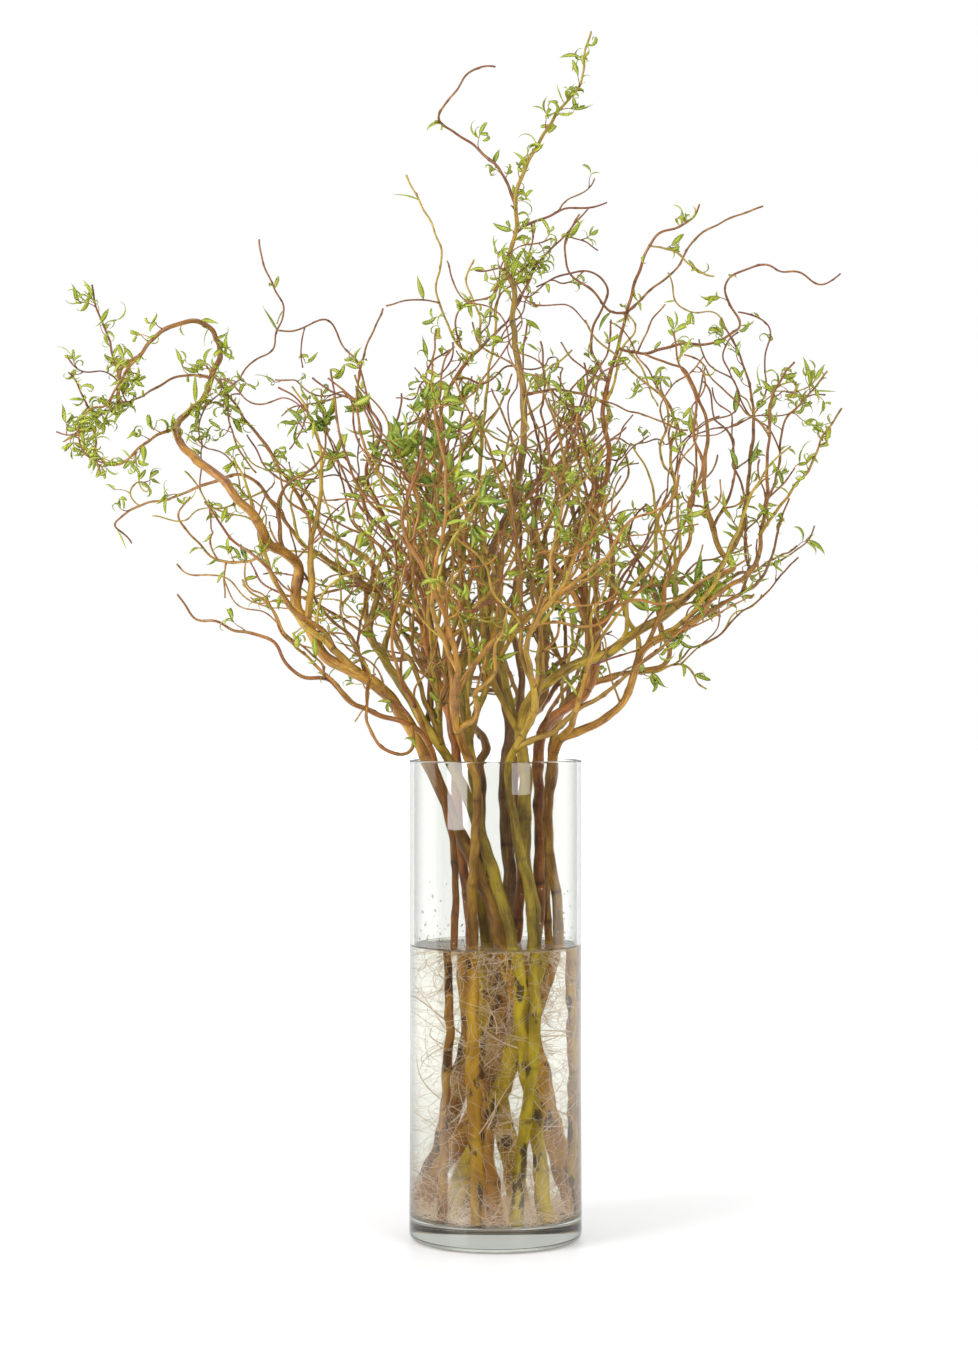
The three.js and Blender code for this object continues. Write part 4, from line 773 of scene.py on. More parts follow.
class Form:
    """Gathers the surface of one piece, with the values that its material reads at every point."""

    def __init__(self, **values):
        self.sizes = values
        self.values = {name: [] for name in values}
        self.points = []
        self.loops = []
        self.totals = []
        self.count = 0
        self.faces = []

    def add(self, points, faces, **values):
        points = points.reshape(-1, 3)
        self.points.append(points)
        self.faces = faces
        for corners in faces:
            self.loops.append((corners + self.count).ravel())
            self.totals.append(np.full(len(corners), corners.shape[1]))
        for name, size in self.sizes.items():
            value = np.asarray(values[name], float)
            shape = (len(points), size) if size > 1 else (len(points),)
            value = value.reshape(shape) if value.size > 1 else value
            self.values[name].append(np.broadcast_to(value, shape))
        self.count += len(points)

    def piece(self, name, material, slot, *nodes):
        """Makes the piece, which rides on the root body and stands for the nodes."""
        mesh = bpy.data.meshes.new(name)
        loops = np.concatenate(self.loops)
        totals = np.concatenate(self.totals)
        mesh.vertices.add(self.count)
        mesh.vertices.foreach_set("co", (np.vstack(self.points) * MM).ravel())
        mesh.loops.add(len(loops))
        mesh.loops.foreach_set("vertex_index", loops)
        mesh.polygons.add(len(totals))
        mesh.polygons.foreach_set("loop_start", np.concatenate([[0], np.cumsum(totals)[:-1]]))
        mesh.update(calc_edges=True)
        mesh.validate()
        for name_of, size in self.sizes.items():
            kind, field = ("FLOAT_VECTOR", "vector") if size > 1 else ("FLOAT", "value")
            held = mesh.attributes.new(name_of, kind, "POINT")
            held.data.foreach_set(field, np.concatenate(self.values[name_of]).ravel())
        mesh.shade_smooth()
        mesh.materials.append(material)
        piece = bpy.data.objects.new(name, mesh)
        bpy.context.scene.collection.objects.link(piece)
        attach(piece, "root")
        if nodes:
            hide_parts(*nodes)


def wall_faces(rings, sides):
    """Quads between rings of points, one after the other."""
    at = np.arange(rings * sides).reshape(rings, sides)
    ahead = np.roll(at, -1, axis=1)
    return np.stack([at[:-1], ahead[:-1], ahead[1:], at[1:]], axis=-1).reshape(-1, 4)


def cap_faces(rings, sides):
    """The two ends of a run of rings."""
    at = np.arange(rings * sides).reshape(rings, sides)
    return np.stack([at[0, ::-1], at[-1]])


def add_wood(form, line, radii, sides, young, draw):
    """A run of bark with swollen nodes, leaf scars or buds, and a grain that follows it."""
    rings = len(line)
    run = run_of(line)
    gap = draw.between(NODE_GAPS["young" if young else "old"])
    turns = draw() * 2 * math.pi
    phase = draw() * 100
    order = np.round(run / gap + NODE_SHIFT[0] * np.sin(run / gap * NODE_SHIFT[1] + phase))
    off = run - order * gap
    side_of = turns + order * NODE_TURN
    _, normal, across = frames_along(line)
    angle = 2 * math.pi * np.arange(sides) / sides
    facing = np.maximum(0, np.cos(angle[None, :] - side_of[:, None]))
    reach = radii * NODE_REACH[0] + NODE_REACH[1]
    ring = np.exp(-(off / reach) ** 2)
    bud = BUD["young" if young else "old"] * ring[:, None] * facing ** 4
    collar = np.exp(-run / (COLLAR["reach"] * radii[0] + 1))
    lumps = sum(size * np.sin(run / (a * radii[0] + b) + turned * phase) for size, a, b, turned in LUMPS)
    thick = radii * (1 + lumps + NODE_SWELL * ring + COLLAR["size"] * collar)
    thick = thick[:, None] * (1 + bud)
    ridges = np.sin(RIDGES["count"] * angle[None, :] + run[:, None] / RIDGES["length"] + phase)
    thick *= 1 + RIDGES["size"] * ridges
    points = line[:, None, :] + around(normal, across, angle) * thick[:, :, None]
    spread = np.maximum(radii, 1.0)[:, None]
    grain = np.stack([
        spread * np.cos(angle)[None, :] + phase,
        spread * np.sin(angle)[None, :] + 3 * phase,
        np.broadcast_to(run[:, None], (rings, sides)),
    ], axis=-1)
    least, behind = SCAR["least"], SCAR["behind"]
    strength = least + (1 - least) * (0.5 + 0.5 * np.sin(order * SCAR["scatter"] + phase))
    scar = (np.exp(-(off / SCAR["reach"]) ** 2) * strength)[:, None] * (behind + (1 - behind) * facing)
    age = np.clip((radii - AGE_FROM) / (AGE_TO - AGE_FROM), 0, 1)
    form.add(
        points, [wall_faces(rings, sides), cap_faces(rings, sides)],
        grain=grain, scar=scar, age=np.repeat(age, sides), tone=draw(),
    )


def crinkled(line, size, stretch, draw):
    """A line with the small kinks of curled wood laid over it, none at its root."""
    run = run_of(line)
    _, normal, across = frames_along(line)
    a, b = draw() * KINK["phase"], draw() * KINK["phase"]
    fade = np.minimum(1, run / KINK["fade"])[:, None]
    wave, fine = KINK["wave"] * size, KINK["fine"] * min(size, FINE_KINK)
    turn = run / stretch
    (long_a, long_b), (short_a, short_b) = KINK["wave_lengths"], KINK["fine_lengths"]
    return line + fade * (
        normal * (wave * np.sin(turn / long_a + a) + fine * np.sin(run / short_a + b))[:, None]
        + across * (wave * np.cos(turn / long_b + b) + fine * np.sin(run / short_b + a))[:, None]
    )


def in_outline(points):
    """True where every point of an added shoot shows inside the crown's outline."""
    x, z = seen(points)
    low = np.interp(x, CROWN_X, CROWN_BOTTOM)
    high = np.interp(x, CROWN_X, CROWN_TOP)
    deep = np.abs(points[:, 1]) < CROWN_DEPTH
    wide = (x > CROWN_X[0] + CROWN_MARGIN) & (x < CROWN_X[-1] - CROWN_MARGIN)
    above = points[:, 2] > RISE - CROWN_DIP
    return bool(((z > low) & (z < high) & wide & deep & above).all())


def leafiness(point):
    """How likely a bud at a point is to have leaves, and whether they may be broad and dark."""
    x, z = seen(point)

    def near_any(spots):
        return any(((x - cx) / rx) ** 2 + ((z - cz) / rz) ** 2 < 1 for cx, cz, rx, rz in spots)

    if near_any(BARE):
        return BARE_CHANCE, False
    share = float(np.interp(z, LEAFY_Z, LEAFY_SHARE))
    share *= float(np.interp(abs(x - LEAFY_MIDDLE), LEAFY_X, LEAFY_OUT)) * LEAF_CHANCE
    if near_any(LEAFY):
        share = max(share, TUFT_CHANCE)
    if near_any(BROAD):
        return max(share, BROAD_CHANCE), True
    return share, False


def added_shoots(own, kind, spec, count, hosts, draw):
    """Shoots that only the looks have: thin ones, spread over the hosts."""
    grown = []
    for n in range(count if hosts else 0):
        for _ in range(spec["tries"]):
            point, direction, radius = hosts[int((n + draw()) / count * len(hosts))]
            heading = leaving(direction, 2 * math.pi * draw(), spec["lean"])
            steps = max(3, round(draw.between(spec["length"]) / spec["step"]))
            points = wander(point, heading, steps, spec["step"], spec["curl"], spec["lift"], draw)
            if in_outline(points[1:]):
                thick = min(draw.between(spec["radius"]), radius * SLIMMER)
                grown.append(Length(own, kind, points, thick))
                break
    return grown


def fine_hosts(lines, low, high, thin):
    """Places along fine lines of wood where more can grow: point, heading and radius."""
    hosts = []
    for line, radii in lines:
        heading = np.gradient(line, axis=0)
        for k in range(FIRST_HOST, len(line) - 1, HOST_EVERY):
            if low < line[k, 2] < high and radii[k] < thin:
                hosts.append((line[k], unit(heading[k]), radii[k]))
    return hosts


def add_blades(form, base, heading, side, size, half, curl, twist, tone):
    """Thin folded leaf blades that curl over and twist, one to a row of each array."""
    count, stations = len(base), BLADE_STATIONS
    share = np.linspace(0, 1, stations + 1)
    width = np.sin(math.pi * share ** BLADE["fullest"]) ** BLADE["taper"] + BLADE["stalk"] * (1 - share)
    bend = BLADE["stiff"] + share[:-1]
    bend /= bend.sum()
    point, ahead, across = base.copy(), heading.copy(), side.copy()
    rows = []
    for k in range(stations + 1):
        over = np.cross(across, ahead)
        reach = (half * width[k])[:, None] + BLADE["edge"]
        lift = over * reach * BLADE["fold"]
        thick = over * BLADE_THICK * (1 if 0 < k < stations else BLADE["end"])
        rows.append(np.stack([
            point - across * reach + lift, point + thick * 0.5,
            point + across * reach + lift, point - thick,
        ], axis=1))
        if k == stations:
            break
        angle = (curl * bend[k])[:, None]
        roll = (twist / stations)[:, None]
        point = point + ahead * (size / stations)[:, None]
        ahead = ahead * np.cos(angle) - over * np.sin(angle)
        across = across * np.cos(roll) + over * np.sin(roll)
        across -= ahead * (across * ahead).sum(1)[:, None]
        across /= np.linalg.norm(across, axis=1)[:, None]
    points = np.stack(rows, axis=1)
    shift = (np.arange(count) * 4 * (stations + 1))[:, None, None]
    faces = [
        (corners[None] + shift).reshape(-1, corners.shape[1])
        for corners in (wall_faces(stations + 1, 4), cap_faces(stations + 1, 4))
    ]
    each = np.ones((count, stations + 1, 4))
    form.add(
        points, faces,
        share=each * share[None, :, None], across=each * np.array([-1.0, 0.0, 1.0, 0.0]),
        under=each * np.array([0.5, 0.0, 0.5, 1.0]), tone=each * tone[:, None, None],
    )


def leaf_rows(hosts, draw):
    """Tufts of leaves and the green spurs that carry them, from the places where buds may be."""
    rows, spurs = [], []
    for point, heading, radius in hosts:
        share, broad = leafiness(point)
        if draw() > share:
            continue
        away = leaving(heading, 2 * math.pi * draw(), SPUR["lean"])
        start = point + away * radius * SUNK
        count = int(draw.between((TUFT[0], TUFT[1] + 0.99)))
        if draw() < SPUR["chance"]:
            steps = max(2, round(draw.between(SPUR["length"]) / SPUR["step"]))
            line = wander(start, away, steps, SPUR["step"], SPUR["curl"], SPUR["lift"], draw)
            spurs.append((line, min(SPUR["radius"], radius * SLIMMER)))
        else:
            line = np.array([start, start + away * 0.5])
            count = max(1, count - 2)
        for n in range(count):
            at = line[max(0, len(line) - 1 - n // 2)]
            ahead = unit(line[-1] - line[-2])
            out = leaving(ahead, NODE_TURN * n + 6 * draw(), draw.between(LEAF["lean"]))
            big = broad and draw() < LEAF["broad"]
            size = draw.between(BROAD_LENGTH if big else BLADE_LENGTH)
            half = size * draw.between(BROAD_WIDTH if big else BLADE_WIDTH) / 2
            kind = draw()
            limits = next(limits for most, limits in CURLS if kind < most or big)
            curl = draw.between(limits)
            sign = -1 if draw() < LEAF["curls_back"] else 1
            spread, lean, darker = LEAF["tone"]
            tone = min(1.0, spread * draw() ** lean + (darker if big else 0.0))
            rows.append((at, out, size, half, curl * sign, draw.between(LEAF["twist"]), tone, draw()))
    return rows, spurs


def add_leaf_rows(form, rows):
    """Adds leaves from rows of place, heading, length, half width, curl, twist, tone and turn."""
    base = np.array([row[0] for row in rows])
    heading = np.array([row[1] for row in rows])
    side = np.cross(heading, UP)
    side /= np.maximum(np.linalg.norm(side, axis=1), 1e-6)[:, None]
    over = np.cross(side, heading)
    turn = np.array([row[7] for row in rows])[:, None] * 2 * math.pi
    side = side * np.cos(turn) + over * np.sin(turn)
    size, half, curl, twist, tone = (np.array([row[k] for row in rows]) for k in range(2, 7))
    add_blades(form, base, heading, side, size, half, curl, twist, tone)


def add_strand(form, line, thick, tone):
    """A root hair: a thin three-sided run that tapers to its end."""
    _, normal, across = frames_along(line)
    sides = STRAND["sides"]
    radii = thick * (1 - STRAND["taper"] * np.linspace(0, 1, len(line)))
    angle = 2 * math.pi * np.arange(sides) / sides
    points = line[:, None, :] + around(normal, across, angle) * radii[:, None, None]
    form.add(points, [wall_faces(len(line), sides), cap_faces(len(line), sides)], tone=tone)


def strand_lines(base, heading, spec, steps, rng):
    """Curling lines from many places at once, kept in the water."""
    point = base
    ahead = heading / np.linalg.norm(heading, axis=1)[:, None]
    lean = rng.normal(size=point.shape)
    lines = [point]
    margin, low = STRAND["margin"], STRAND["floor"]
    for _ in range(steps):
        lean = STRAND["keep"] * lean + STRAND["fresh"] * rng.normal(size=point.shape)
        ahead = ahead + spec["curl"] * lean
        ahead[:, 2] -= spec["sink"]
        out = np.hypot(point[:, 0], point[:, 1])
        press = np.clip((out - ROOT_LIMIT + margin) / margin, 0, 1)[:, None]
        ahead[:, :2] -= press * STRAND["press"] * point[:, :2] / np.maximum(out, 1)[:, None]
        ahead[:, 2] += np.clip((FLOOR + low - point[:, 2]) / low, 0, 1) * STRAND["rise"]
        ahead /= np.linalg.norm(ahead, axis=1)[:, None]
        point = point + ahead * spec["step"]
        out = np.hypot(point[:, 0], point[:, 1])
        over = np.minimum(1, ROOT_LIMIT / np.maximum(out, 1))
        point[:, :2] *= over[:, None]
        point[:, 2] = np.clip(point[:, 2], FLOOR + 1, WATER_LEVEL - 1.5)
        lines.append(point)
    return np.stack(lines, axis=1)


def add_strands(form, base, heading, spec, rng):
    for line in strand_lines(base, heading, spec, spec["steps"], rng):
        add_strand(form, line, spec["radius"], rng.random())


def held(profile):
    """A profile with a point near both ends of each long straight, which keeps its shading straight."""
    points = [np.array(profile[0], float)]
    for point in profile[1:]:
        before, after = points[-1], np.array(point, float)
        far = np.linalg.norm(after - before)
        if far > 3 * HOLD:
            ahead = (after - before) / far * HOLD
            points += [before + ahead, after - ahead]
        points.append(after)
    return np.array(points)


def lathe(form, profile, sides):
    """A body of revolution from a profile of (radius, height) that starts and ends on the axis."""
    profile = held(profile)
    angle = 2 * math.pi * np.arange(sides) / sides
    inner = profile[1:-1]
    rings = np.stack([
        inner[:, 0, None] * np.cos(angle), inner[:, 0, None] * np.sin(angle),
        np.broadcast_to(inner[:, 1, None], (len(inner), sides)),
    ], axis=-1).reshape(-1, 3)
    poles = np.array([[0, 0, profile[0, 1]], [0, 0, profile[-1, 1]]])
    low, high = len(rings), len(rings) + 1
    first = np.arange(sides)
    last = first + (len(inner) - 1) * sides
    fans = np.concatenate([
        np.stack([np.full(sides, low), np.roll(first, -1), first], axis=1),
        np.stack([np.full(sides, high), last, np.roll(last, -1)], axis=1),
    ])
    form.add(np.vstack([rings, poles]), [wall_faces(len(inner), sides), fans])


def arc(cx, cz, radius, start, end, steps):
    angle = np.radians(np.linspace(start, end, steps + 1))
    return [(cx + radius * math.cos(a), cz + radius * math.sin(a)) for a in angle]


# Materials, each built from nodes
def put(tree, kind, sockets=None, **settings):
    """Adds a shader node, with its sockets set or linked."""
    made = tree.nodes.new("ShaderNode" + kind)
    for name, value in settings.items():
        setattr(made, name, value)
    for name, value in (sockets or {}).items():
        if isinstance(value, bpy.types.NodeSocket):
            tree.links.new(value, made.inputs[name])
        else:
            made.inputs[name].default_value = value
    return made


def rgb(code):
    """A linear colour from its six-digit code."""
    parts = [int(code[i:i + 2], 16) / 255 for i in (0, 2, 4)]
    return (*[c / 12.92 if c <= 0.04045 else ((c + 0.055) / 1.055) ** 2.4 for c in parts], 1.0)


def blended(tree, share, one, two):
    """A mix of two colours."""
    return put(tree, "Mix", {0: share, 6: one, 7: two}, data_type="RGBA").outputs[2]


def math_of(tree, operation, *values):
    return put(tree, "Math", dict(enumerate(values)), operation=operation).outputs[0]


def bumped(tree, strength, distance, height):
    """A normal that shows relief of some height."""
    return put(tree, "Bump", {"Strength": strength, "Distance": distance, "Height": height}).outputs[0]


def thin_surface(tree, colour, mottle, rough, normal, through):
    """A surface with mottled gloss that lets a share of the light through."""
    shader = put(tree, "BsdfPrincipled", {
        "Base Color": colour, "Roughness": ranged(tree, mottle, 0.3, 0.7, *rough), "Normal": normal,
    })
    glow = put(tree, "BsdfTranslucent", {"Color": colour, "Normal": normal})
    return put(tree, "MixShader", {0: through, 1: shader.outputs[0], 2: glow.outputs[0]})


def either(tree, share, one, two):
    """A mix of two values."""
    return put(tree, "Mix", {0: share, 2: one, 3: two}).outputs[0]


def ranged(tree, value, low, high, to_low=0.0, to_high=1.0):
    """A value brought smoothly from one range to another."""
    sockets = {"Value": value, "From Min": low, "From Max": high, "To Min": to_low, "To Max": to_high}
    return put(tree, "MapRange", sockets, interpolation_type="SMOOTHSTEP").outputs[0]


def noise_of(tree, vector, stretch, detail=3.0, rough=0.55):
    """Noise over a vector that is first stretched by a share on each axis."""
    moved = put(tree, "VectorMath", {0: vector, 1: stretch}, operation="MULTIPLY").outputs[0]
    sockets = {"Vector": moved, "Scale": 1.0, "Detail": detail, "Roughness": rough}
    return put(tree, "TexNoise", sockets).outputs[0]


def attribute(tree, name, output):
    return put(tree, "Attribute", attribute_name=name).outputs[output]


def new_material(name):
    material = bpy.data.materials.new(name)
    material.use_nodes = True
    tree = material.node_tree
    tree.nodes.clear()
    return material, tree


def finish_with(tree, shader, volume=None):
    sockets = {"Surface": shader.outputs[0]}
    if volume is not None:
        sockets["Volume"] = volume.outputs[0]
    put(tree, "OutputMaterial", sockets)


def bark(name, light, dark, wet_light, wet_dark):
    """Willow bark: smooth and reddish where young, streaked where old, bright and patchy in water."""
    material, tree = new_material(name)
    grain = attribute(tree, "grain", "Vector")
    scar, age, tone = (attribute(tree, value, "Fac") for value in ("scar", "age", "tone"))
    patches = ranged(tree, noise_of(tree, grain, (0.1, 0.1, 0.028)), 0.36, 0.64)
    streaks = noise_of(tree, grain, (0.8, 0.8, 0.07), 5.0, 0.65)
    specks = noise_of(tree, grain, (1.3, 1.3, 0.7), 2.0)
    old = blended(tree, patches, rgb(light), rgb(dark))
    young = blended(tree, ranged(tree, tone, 0.2, 0.5), rgb(YOUNG[0]), rgb(YOUNG[1]))
    young = blended(tree, ranged(tree, tone, 0.55, 0.9), young, rgb(YOUNG[2]))
    young = blended(tree, math_of(tree, "MULTIPLY", patches, 0.35), young, rgb(YOUNG[2]))
    dry = blended(tree, age, young, old)
    place = put(tree, "TexCoord").outputs["Object"]
    height = put(tree, "SeparateXYZ", {0: place}).outputs["Z"]
    high = ranged(tree, height, *HIGH_Z, 0.0, HIGH_SHARE)
    high = math_of(tree, "MULTIPLY", high, ranged(tree, tone, 0.92, 0.75))
    dry = blended(tree, high, dry, rgb(HIGH))
    dry = blended(tree, ranged(tree, streaks, 0.5, 0.72, 0.0, 0.55), dry, rgb(STREAK))
    dry = blended(tree, ranged(tree, streaks, 0.47, 0.3, 0.0, 0.4), dry, rgb(PALE_STREAK))
    dry = blended(tree, ranged(tree, specks, 0.66, 0.72, 0.0, 0.6), dry, rgb(SPECK))
    dry = blended(tree, math_of(tree, "MULTIPLY", scar, 0.85), dry, rgb(DRY_SCAR))
    wet = blended(tree, patches, rgb(wet_light), rgb(wet_dark))
    rot = ranged(tree, noise_of(tree, grain, (0.09, 0.09, 0.035), 4.0), 0.57, 0.62, 0.0, 0.85)
    foot = ranged(tree, height, 0.06, 0.024)
    foot = math_of(tree, "MULTIPLY", foot, ranged(tree, tone, 0.5, 1.0, 0.0, 0.7))
    wet = blended(tree, math_of(tree, "MAXIMUM", rot, foot), wet, rgb(ROT))
    wet = blended(tree, ranged(tree, streaks, 0.52, 0.75, 0.0, 0.4), wet, rgb(WET_STREAK))
    wet = blended(tree, math_of(tree, "MULTIPLY", scar, 0.75), wet, rgb(WET_SCAR))
    under = ranged(tree, height, (WATER_LEVEL + 2) * MM, (WATER_LEVEL - 1) * MM)
    colour = blended(tree, under, dry, wet)
    relief = math_of(tree, "ADD", streaks, math_of(tree, "MULTIPLY", specks, 0.5))
    relief = math_of(tree, "ADD", relief, math_of(tree, "MULTIPLY", scar, -0.6))
    shader = put(tree, "BsdfPrincipled", {
        "Base Color": colour, "Roughness": ranged(tree, streaks, 0.3, 0.7, 0.34, 0.56),
        "Normal": bumped(tree, 0.5, 0.0005, relief), "Specular IOR Level": 0.45,
    })
    finish_with(tree, shader)
    return material


def leaf_material():
    """Thin willow blades: paler under, with a light rib, yellow-green to mid green."""
    material, tree = new_material("leaf")
    tone, share, across, under = (
        attribute(tree, value, "Fac") for value in ("tone", "share", "across", "under")
    )
    place = put(tree, "TexCoord").outputs["Object"]
    mottle = noise_of(tree, place, (260.0, 260.0, 260.0), 3.0)
    colour = blended(tree, tone, rgb(GREENS[0]), rgb(GREENS[1]))
    deep = ranged(tree, tone, 0.6, 1.0, 0.0, 0.8)
    colour = blended(tree, deep, colour, rgb(GREENS[2]))
    colour = blended(tree, ranged(tree, mottle, 0.4, 0.7, 0.0, 0.4), colour, rgb(GREENS[3]))
    colour = blended(tree, math_of(tree, "MULTIPLY", under, 0.35), colour, rgb(LEAF_UNDER))
    off = math_of(tree, "ABSOLUTE", across)
    rib = ranged(tree, off, 0.2, 0.05, 0.0, 0.55)
    colour = blended(tree, rib, colour, rgb(LEAF_RIB))
    slant = math_of(tree, "ADD", share, math_of(tree, "MULTIPLY", off, -0.12))
    veins = math_of(tree, "SINE", math_of(tree, "MULTIPLY", slant, 95.0))
    relief = math_of(tree, "SUBTRACT", math_of(tree, "MULTIPLY", veins, 0.2), rib)
    normal = bumped(tree, 0.35, 0.0002, relief)
    finish_with(tree, thin_surface(tree, colour, mottle, (0.4, 0.55), normal, 0.35))
    return material


def root_material():
    """Root hairs: pinkish beige, with paler and browner ones, and a painted glow in their own colour."""
    material, tree = new_material("root_hairs")
    tone = attribute(tree, "tone", "Fac")
    place = put(tree, "TexCoord").outputs["Object"]
    mottle = noise_of(tree, place, (120.0, 120.0, 120.0), 3.0)
    colour = blended(tree, tone, rgb(ROOTS[0]), rgb(ROOTS[1]))
    colour = blended(tree, ranged(tree, mottle, 0.45, 0.7, 0.0, 0.3), colour, rgb(ROOTS[2]))
    both = thin_surface(tree, colour, mottle, (0.45, 0.6), bumped(tree, 0.3, 0.0002, mottle), 0.5)
    # Painted light: the hairs glow faintly in their own colour, so they look lit inside the water and
    # glass
    painted_glow = put(tree, "Emission", {"Color": colour, "Strength": ROOT_GLOW})
    finish_with(tree, put(tree, "AddShader", {0: both.outputs[0], 1: painted_glow.outputs[0]}))
    return material


def clear_material(name, clear, edge, ior, absorbed, density, ripple):
    """Clear glass or water: greyed by a painted shade where it is seen edge on, with faint ripples in its
    surface.
    """
    material, tree = new_material(name)
    place = put(tree, "TexCoord").outputs["Object"]
    waves = noise_of(tree, place, ripple, 2.0)
    facing = put(tree, "LayerWeight").outputs["Facing"]
    # Painted shade: the tint darkens towards the edge colour where the surface is seen edge on
    colour = blended(tree, ranged(tree, facing, 0.4, 0.92), rgb(clear), rgb(edge))
    shader = put(tree, "BsdfPrincipled", {
        "Base Color": colour, "Roughness": 0.0, "IOR": ior, "Transmission Weight": 1.0,
        "Normal": bumped(tree, 0.12, 0.0006, waves),
    })
    volume = put(tree, "VolumeAbsorption", {"Color": absorbed, "Density": density})
    finish_with(tree, shader, volume)
    return material


# The wood, leaves and roots of every stem
lengths, part_leaves = grow_part()
draw = Draws(SEED + 1)
rng = np.random.default_rng(SEED)
leaf_look = leaf_material()
root_look = root_material()
bark_looks = {name: bark("bark_" + name, *colours) for name, colours in BARKS.items()}

for owner, stem in enumerate(STEMS):
    wood = Form(grain=3, scar=1, age=1, tone=1)
    lines = []
    for length in [length for length in lengths if length.owner == owner]:
        line, share = fine_run(length, STEP[length.kind])
        if length.kind != "root":
            line = crinkled(line, KINKS[length.kind], 1.0, draw)
        radii = length.radius_at(share)
        lines.append((length.kind, line, radii))
    shown = [(line, radii) for kind, line, radii in lines if kind != "root"]
    for kind, spec, count, thin, low, high in ADDED:
        hosts = fine_hosts(shown, low, high, thin)
        for shoot in added_shoots(owner, kind, spec, count, hosts, draw):
            line, share = fine_run(shoot, STEP[kind])
            line = crinkled(line, ADDED_KINKS[kind], ADDED_STRETCH, draw)
            lines.append((kind, line, shoot.radius_at(share)))
            shown.append(lines[-1][1:])
    rows, spurs = leaf_rows(fine_hosts(shown, *LEAF_HOSTS), draw)
    for line, thick in spurs:
        lines.append(("twig", line, np.linspace(thick, thick * SPUR["tip"], len(line))))
    for kind, line, radii in lines:
        if kind != "root":
            add_wood(wood, line, radii, SIDES[kind], radii[0] < YOUNG_RADIUS, draw)
    wood.piece(stem["name"] + "_wood", bark_looks[stem["bark"]], "bark_" + stem["bark"], stem["name"])

    for leaf in part_leaves:
        if leaf.owner == owner:
            curl = leaf.curl * PART_LEAF["curl"]
            shape = (leaf.size, leaf.half, curl, PART_LEAF["twist"], draw(), 0.0)
            rows.append((leaf.base, leaf.heading, *shape))
    leaves = Form(share=1, across=1, under=1, tone=1)
    add_leaf_rows(leaves, rows)
    leaves.piece(stem["name"] + "_leaves", leaf_look, "leaf", stem["name"])

    hairs = Form(tone=1)
    for kind, line, radii in lines:
        if kind == "root":
            add_strand(hairs, line, radii[0] * ROOT_SLIM, draw())
    main = next(line for kind, line, _ in lines if kind == "stem")
    wet = main[(main[:, 2] > HAIR_RANGE[0]) & (main[:, 2] < HAIR_RANGE[1])]
    picks = wet[(rng.random(HAIR["count"]) ** HAIRS_RISE * (len(wet) - 1)).astype(int)]
    heading = rng.normal(size=picks.shape) + [0, 0, HAIR["droop"]]
    for line in strand_lines(picks, heading, HAIR, HAIR["steps"][1], rng):
        cut = rng.integers(*HAIR["steps"])
        add_strand(hairs, line[:cut], rng.uniform(*HAIR["radius"]), rng.random())
    hairs.piece(stem["name"] + "_roots", root_look, "roots", stem["name"])

# The mat of roots on the floor, and the ones that skim the surface
mat = Form(tone=1)
spread = np.sqrt(rng.random(MAT["count"])) * MAT["spread"]
turn = rng.random(MAT["count"]) * 2 * math.pi
height = FLOOR + MAT["low"] + MAT["deep"] * rng.random(len(turn)) ** 2
base = np.stack([spread * np.cos(turn), spread * np.sin(turn), height], axis=1)
add_strands(mat, base, rng.normal(size=base.shape) * [1, 1, 0.05], MAT, rng)
turn = rng.random(SKIM["count"]) * 2 * math.pi
ahead = np.stack([np.cos(turn), np.sin(turn), np.zeros(len(turn))], axis=1)
base = ahead * [*SKIM["ring"], 0]
base[:, 2] = WATER_LEVEL - SKIM["low"] - SKIM["deep"] * rng.random(len(turn))
add_strands(mat, base, ahead, SKIM, rng)
mat.piece("root_mat", root_look, "roots")

# The vase
glass = clear_material("clear_glass", **GLASS)
vase = Form()
lathe(vase, [
    (0, 0),
    *arc(RADIUS - FOOT_ROUND, FOOT_ROUND, FOOT_ROUND, -90, 0, 10),
    *arc(RADIUS - RIM_ROUND, HEIGHT - RIM_ROUND, RIM_ROUND, 0, 90, 6),
    *arc(BORE + RIM_ROUND, HEIGHT - RIM_ROUND, RIM_ROUND, 90, 180, 6),
    *arc(BORE - FLOOR_ROUND, FLOOR + FLOOR_ROUND, FLOOR_ROUND, 0, -90, 8),
    (0, FLOOR),
], GLASS_SIDES)
vase.piece("vase_glass", glass, "glass", "vase")

# The water wets the glass, so it reaches a little into it, and creeps up it at the surface
liquid = clear_material("clear_water", **WATER)
water = Form()
reach = BORE + WETTED
lathe(water, [
    (0, FLOOR - WETTED),
    *arc(reach - FLOOR_ROUND, FLOOR - WETTED + FLOOR_ROUND, FLOOR_ROUND, -90, 0, 8),
    *((reach - inward, WATER_LEVEL + rise) for inward, rise in CREEP),
    (30, WATER_LEVEL), (0, WATER_LEVEL),
], GLASS_SIDES)
water.piece("water_body", liquid, "water", "water")

# Drops on the inside of the glass and bubbles on the water
drops = Form()
one = Form()
lathe(one, DROP_DOME, DROP["sides"])
for _ in range(BUBBLES):
    size = DROP["size"][0] + DROP["size"][1] * rng.random() ** 2
    afloat = rng.random() < DROP["afloat"]
    angle = rng.random() * 2 * math.pi
    ahead = np.array([math.cos(angle), math.sin(angle), 0.0])
    if afloat:
        spot = ahead * (DROP["far"] - DROP["reach"] * rng.random() ** 2.2) + UP * (WATER_LEVEL - 0.1)
        out = UP
    else:
        spot = ahead * BORE + UP * (WATER_LEVEL + DROP["above"] + DROP["height"] * rng.random() ** 2)
        out = -ahead
    side = unit(np.cross(out, DROP["askew"]))
    turned = np.stack([side, np.cross(out, side), out])
    drops.add(one.points[0] * size @ turned + spot, one.faces)
drops.piece("drops", liquid, "water")
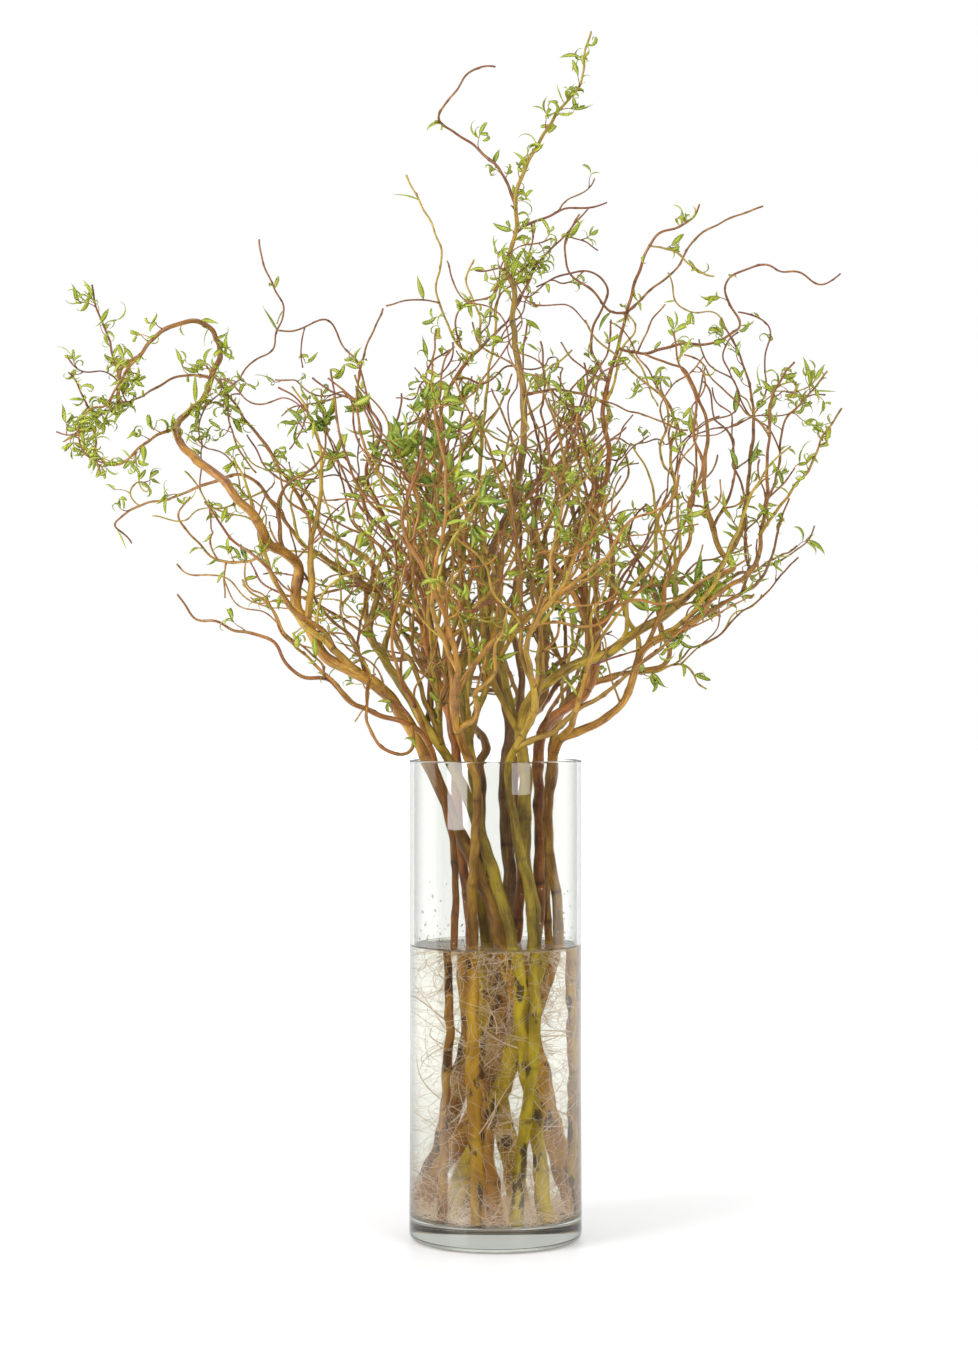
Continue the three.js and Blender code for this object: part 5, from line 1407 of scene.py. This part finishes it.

# A plain white floor with a painted glow, weaker near the vase, which paints a shade round it; it looks
# dark in reflections before the vase, a painted reflection, and leaves the glass clear
floor_look, tree = new_material("studio_floor")
place = put(tree, "TexCoord").outputs["Object"]
far = put(tree, "VectorMath", {0: place}, operation="LENGTH").outputs["Value"]
# Painted light that keeps the floor white far off; weaker near the vase, where it leaves a painted shade
# round the foot
glow = ranged(tree, far, *FLOOR_GLOW["reach"], *FLOOR_GLOW["strength"])
shade = put(tree, "BsdfPrincipled", {
    "Base Color": (0.8, 0.8, 0.8, 1), "Roughness": 0.35,
    "Emission Color": (1, 1, 1, 1), "Emission Strength": glow,
})
before = ranged(tree, put(tree, "SeparateXYZ", {0: place}).outputs["Y"], *FLOOR_GLOW["before"])
shiny = math_of(tree, "MINIMUM", put(tree, "LightPath").outputs["Glossy Depth"], 1.0)
dim = put(tree, "Emission", {"Strength": FLOOR_GLOW["mirrored"]})
unlit = math_of(tree, "MULTIPLY", before, shiny)
shade = put(tree, "MixShader", {0: unlit, 1: shade.outputs[0], 2: dim.outputs[0]})
finish_with(tree, shade)
bpy.ops.mesh.primitive_plane_add(size=FLOOR_SIZE, location=(0, 0, -FLOOR_DROP))
floor = bpy.context.object
floor.name = "studio_floor"
floor.data.materials.append(floor_look)

# The surroundings are white behind the vase, and differ in what they give reflections and matt surfaces
world = bpy.data.worlds.new("studio")
bpy.context.scene.world = world
world.use_nodes = True
tree = world.node_tree
tree.nodes.clear()
path = put(tree, "LightPath")
way = put(tree, "SeparateXYZ", {0: put(tree, "TexCoord").outputs["Generated"]})
diagonal = math_of(tree, "ABSOLUTE", math_of(tree, "MULTIPLY", way.outputs[0], way.outputs[1]))
through = ranged(tree, diagonal, 0.2, 0.48, *SKY["through"])
diffuse = ranged(tree, way.outputs[2], -0.4, 0.9, *SKY["around"])
front = ranged(tree, way.outputs[2], 0.1, 0.9, *SKY["ahead"])
mirrored = either(tree, ranged(tree, way.outputs[1], -0.1, 0.5), front, SKY["behind"])
lit = either(tree, path.outputs["Is Transmission Ray"], diffuse, SKY["in_glass"])
shiny = math_of(tree, "MINIMUM", path.outputs["Glossy Depth"], 1.0)
bounced = math_of(tree, "MINIMUM", path.outputs["Diffuse Depth"], 1.0)
strength = either(tree, shiny, through, mirrored)
strength = either(tree, bounced, strength, lit)
strength = either(tree, path.outputs["Is Camera Ray"], strength, 1.0)
sky = put(tree, "Background", {"Color": (1, 1, 1, 1), "Strength": strength})
put(tree, "OutputWorld", {"Surface": sky.outputs[0]})

# Soft lamps, not seen through the glass
for name, place, target, power, width, height, colour in LAMPS:
    lamp = bpy.data.lights.new(name, "AREA")
    lamp.shape = "RECTANGLE"
    lamp.size = width
    lamp.size_y = height
    lamp.energy = power
    lamp.color = colour
    made = bpy.data.objects.new(name, lamp)
    made.location = place
    made.visible_transmission = False
    aim = mathutils.Vector((0, 0, target)) - mathutils.Vector(place)
    made.rotation_euler = aim.to_track_quat("-Z", "Y").to_euler()
    bpy.context.scene.collection.objects.link(made)

lens = bpy.data.cameras.new("front")
lens.lens = CAMERA["lens"]
lens.sensor_width = CAMERA["sensor"]
lens.clip_end = 100
camera = bpy.data.objects.new("front", lens)
camera.location = CAMERA["place"]
camera.rotation_euler = (math.radians(CAMERA["tilt"]), 0, 0)
bpy.context.scene.collection.objects.link(camera)
bpy.context.scene.camera = camera
bpy.context.scene.view_settings.view_transform = "Standard"
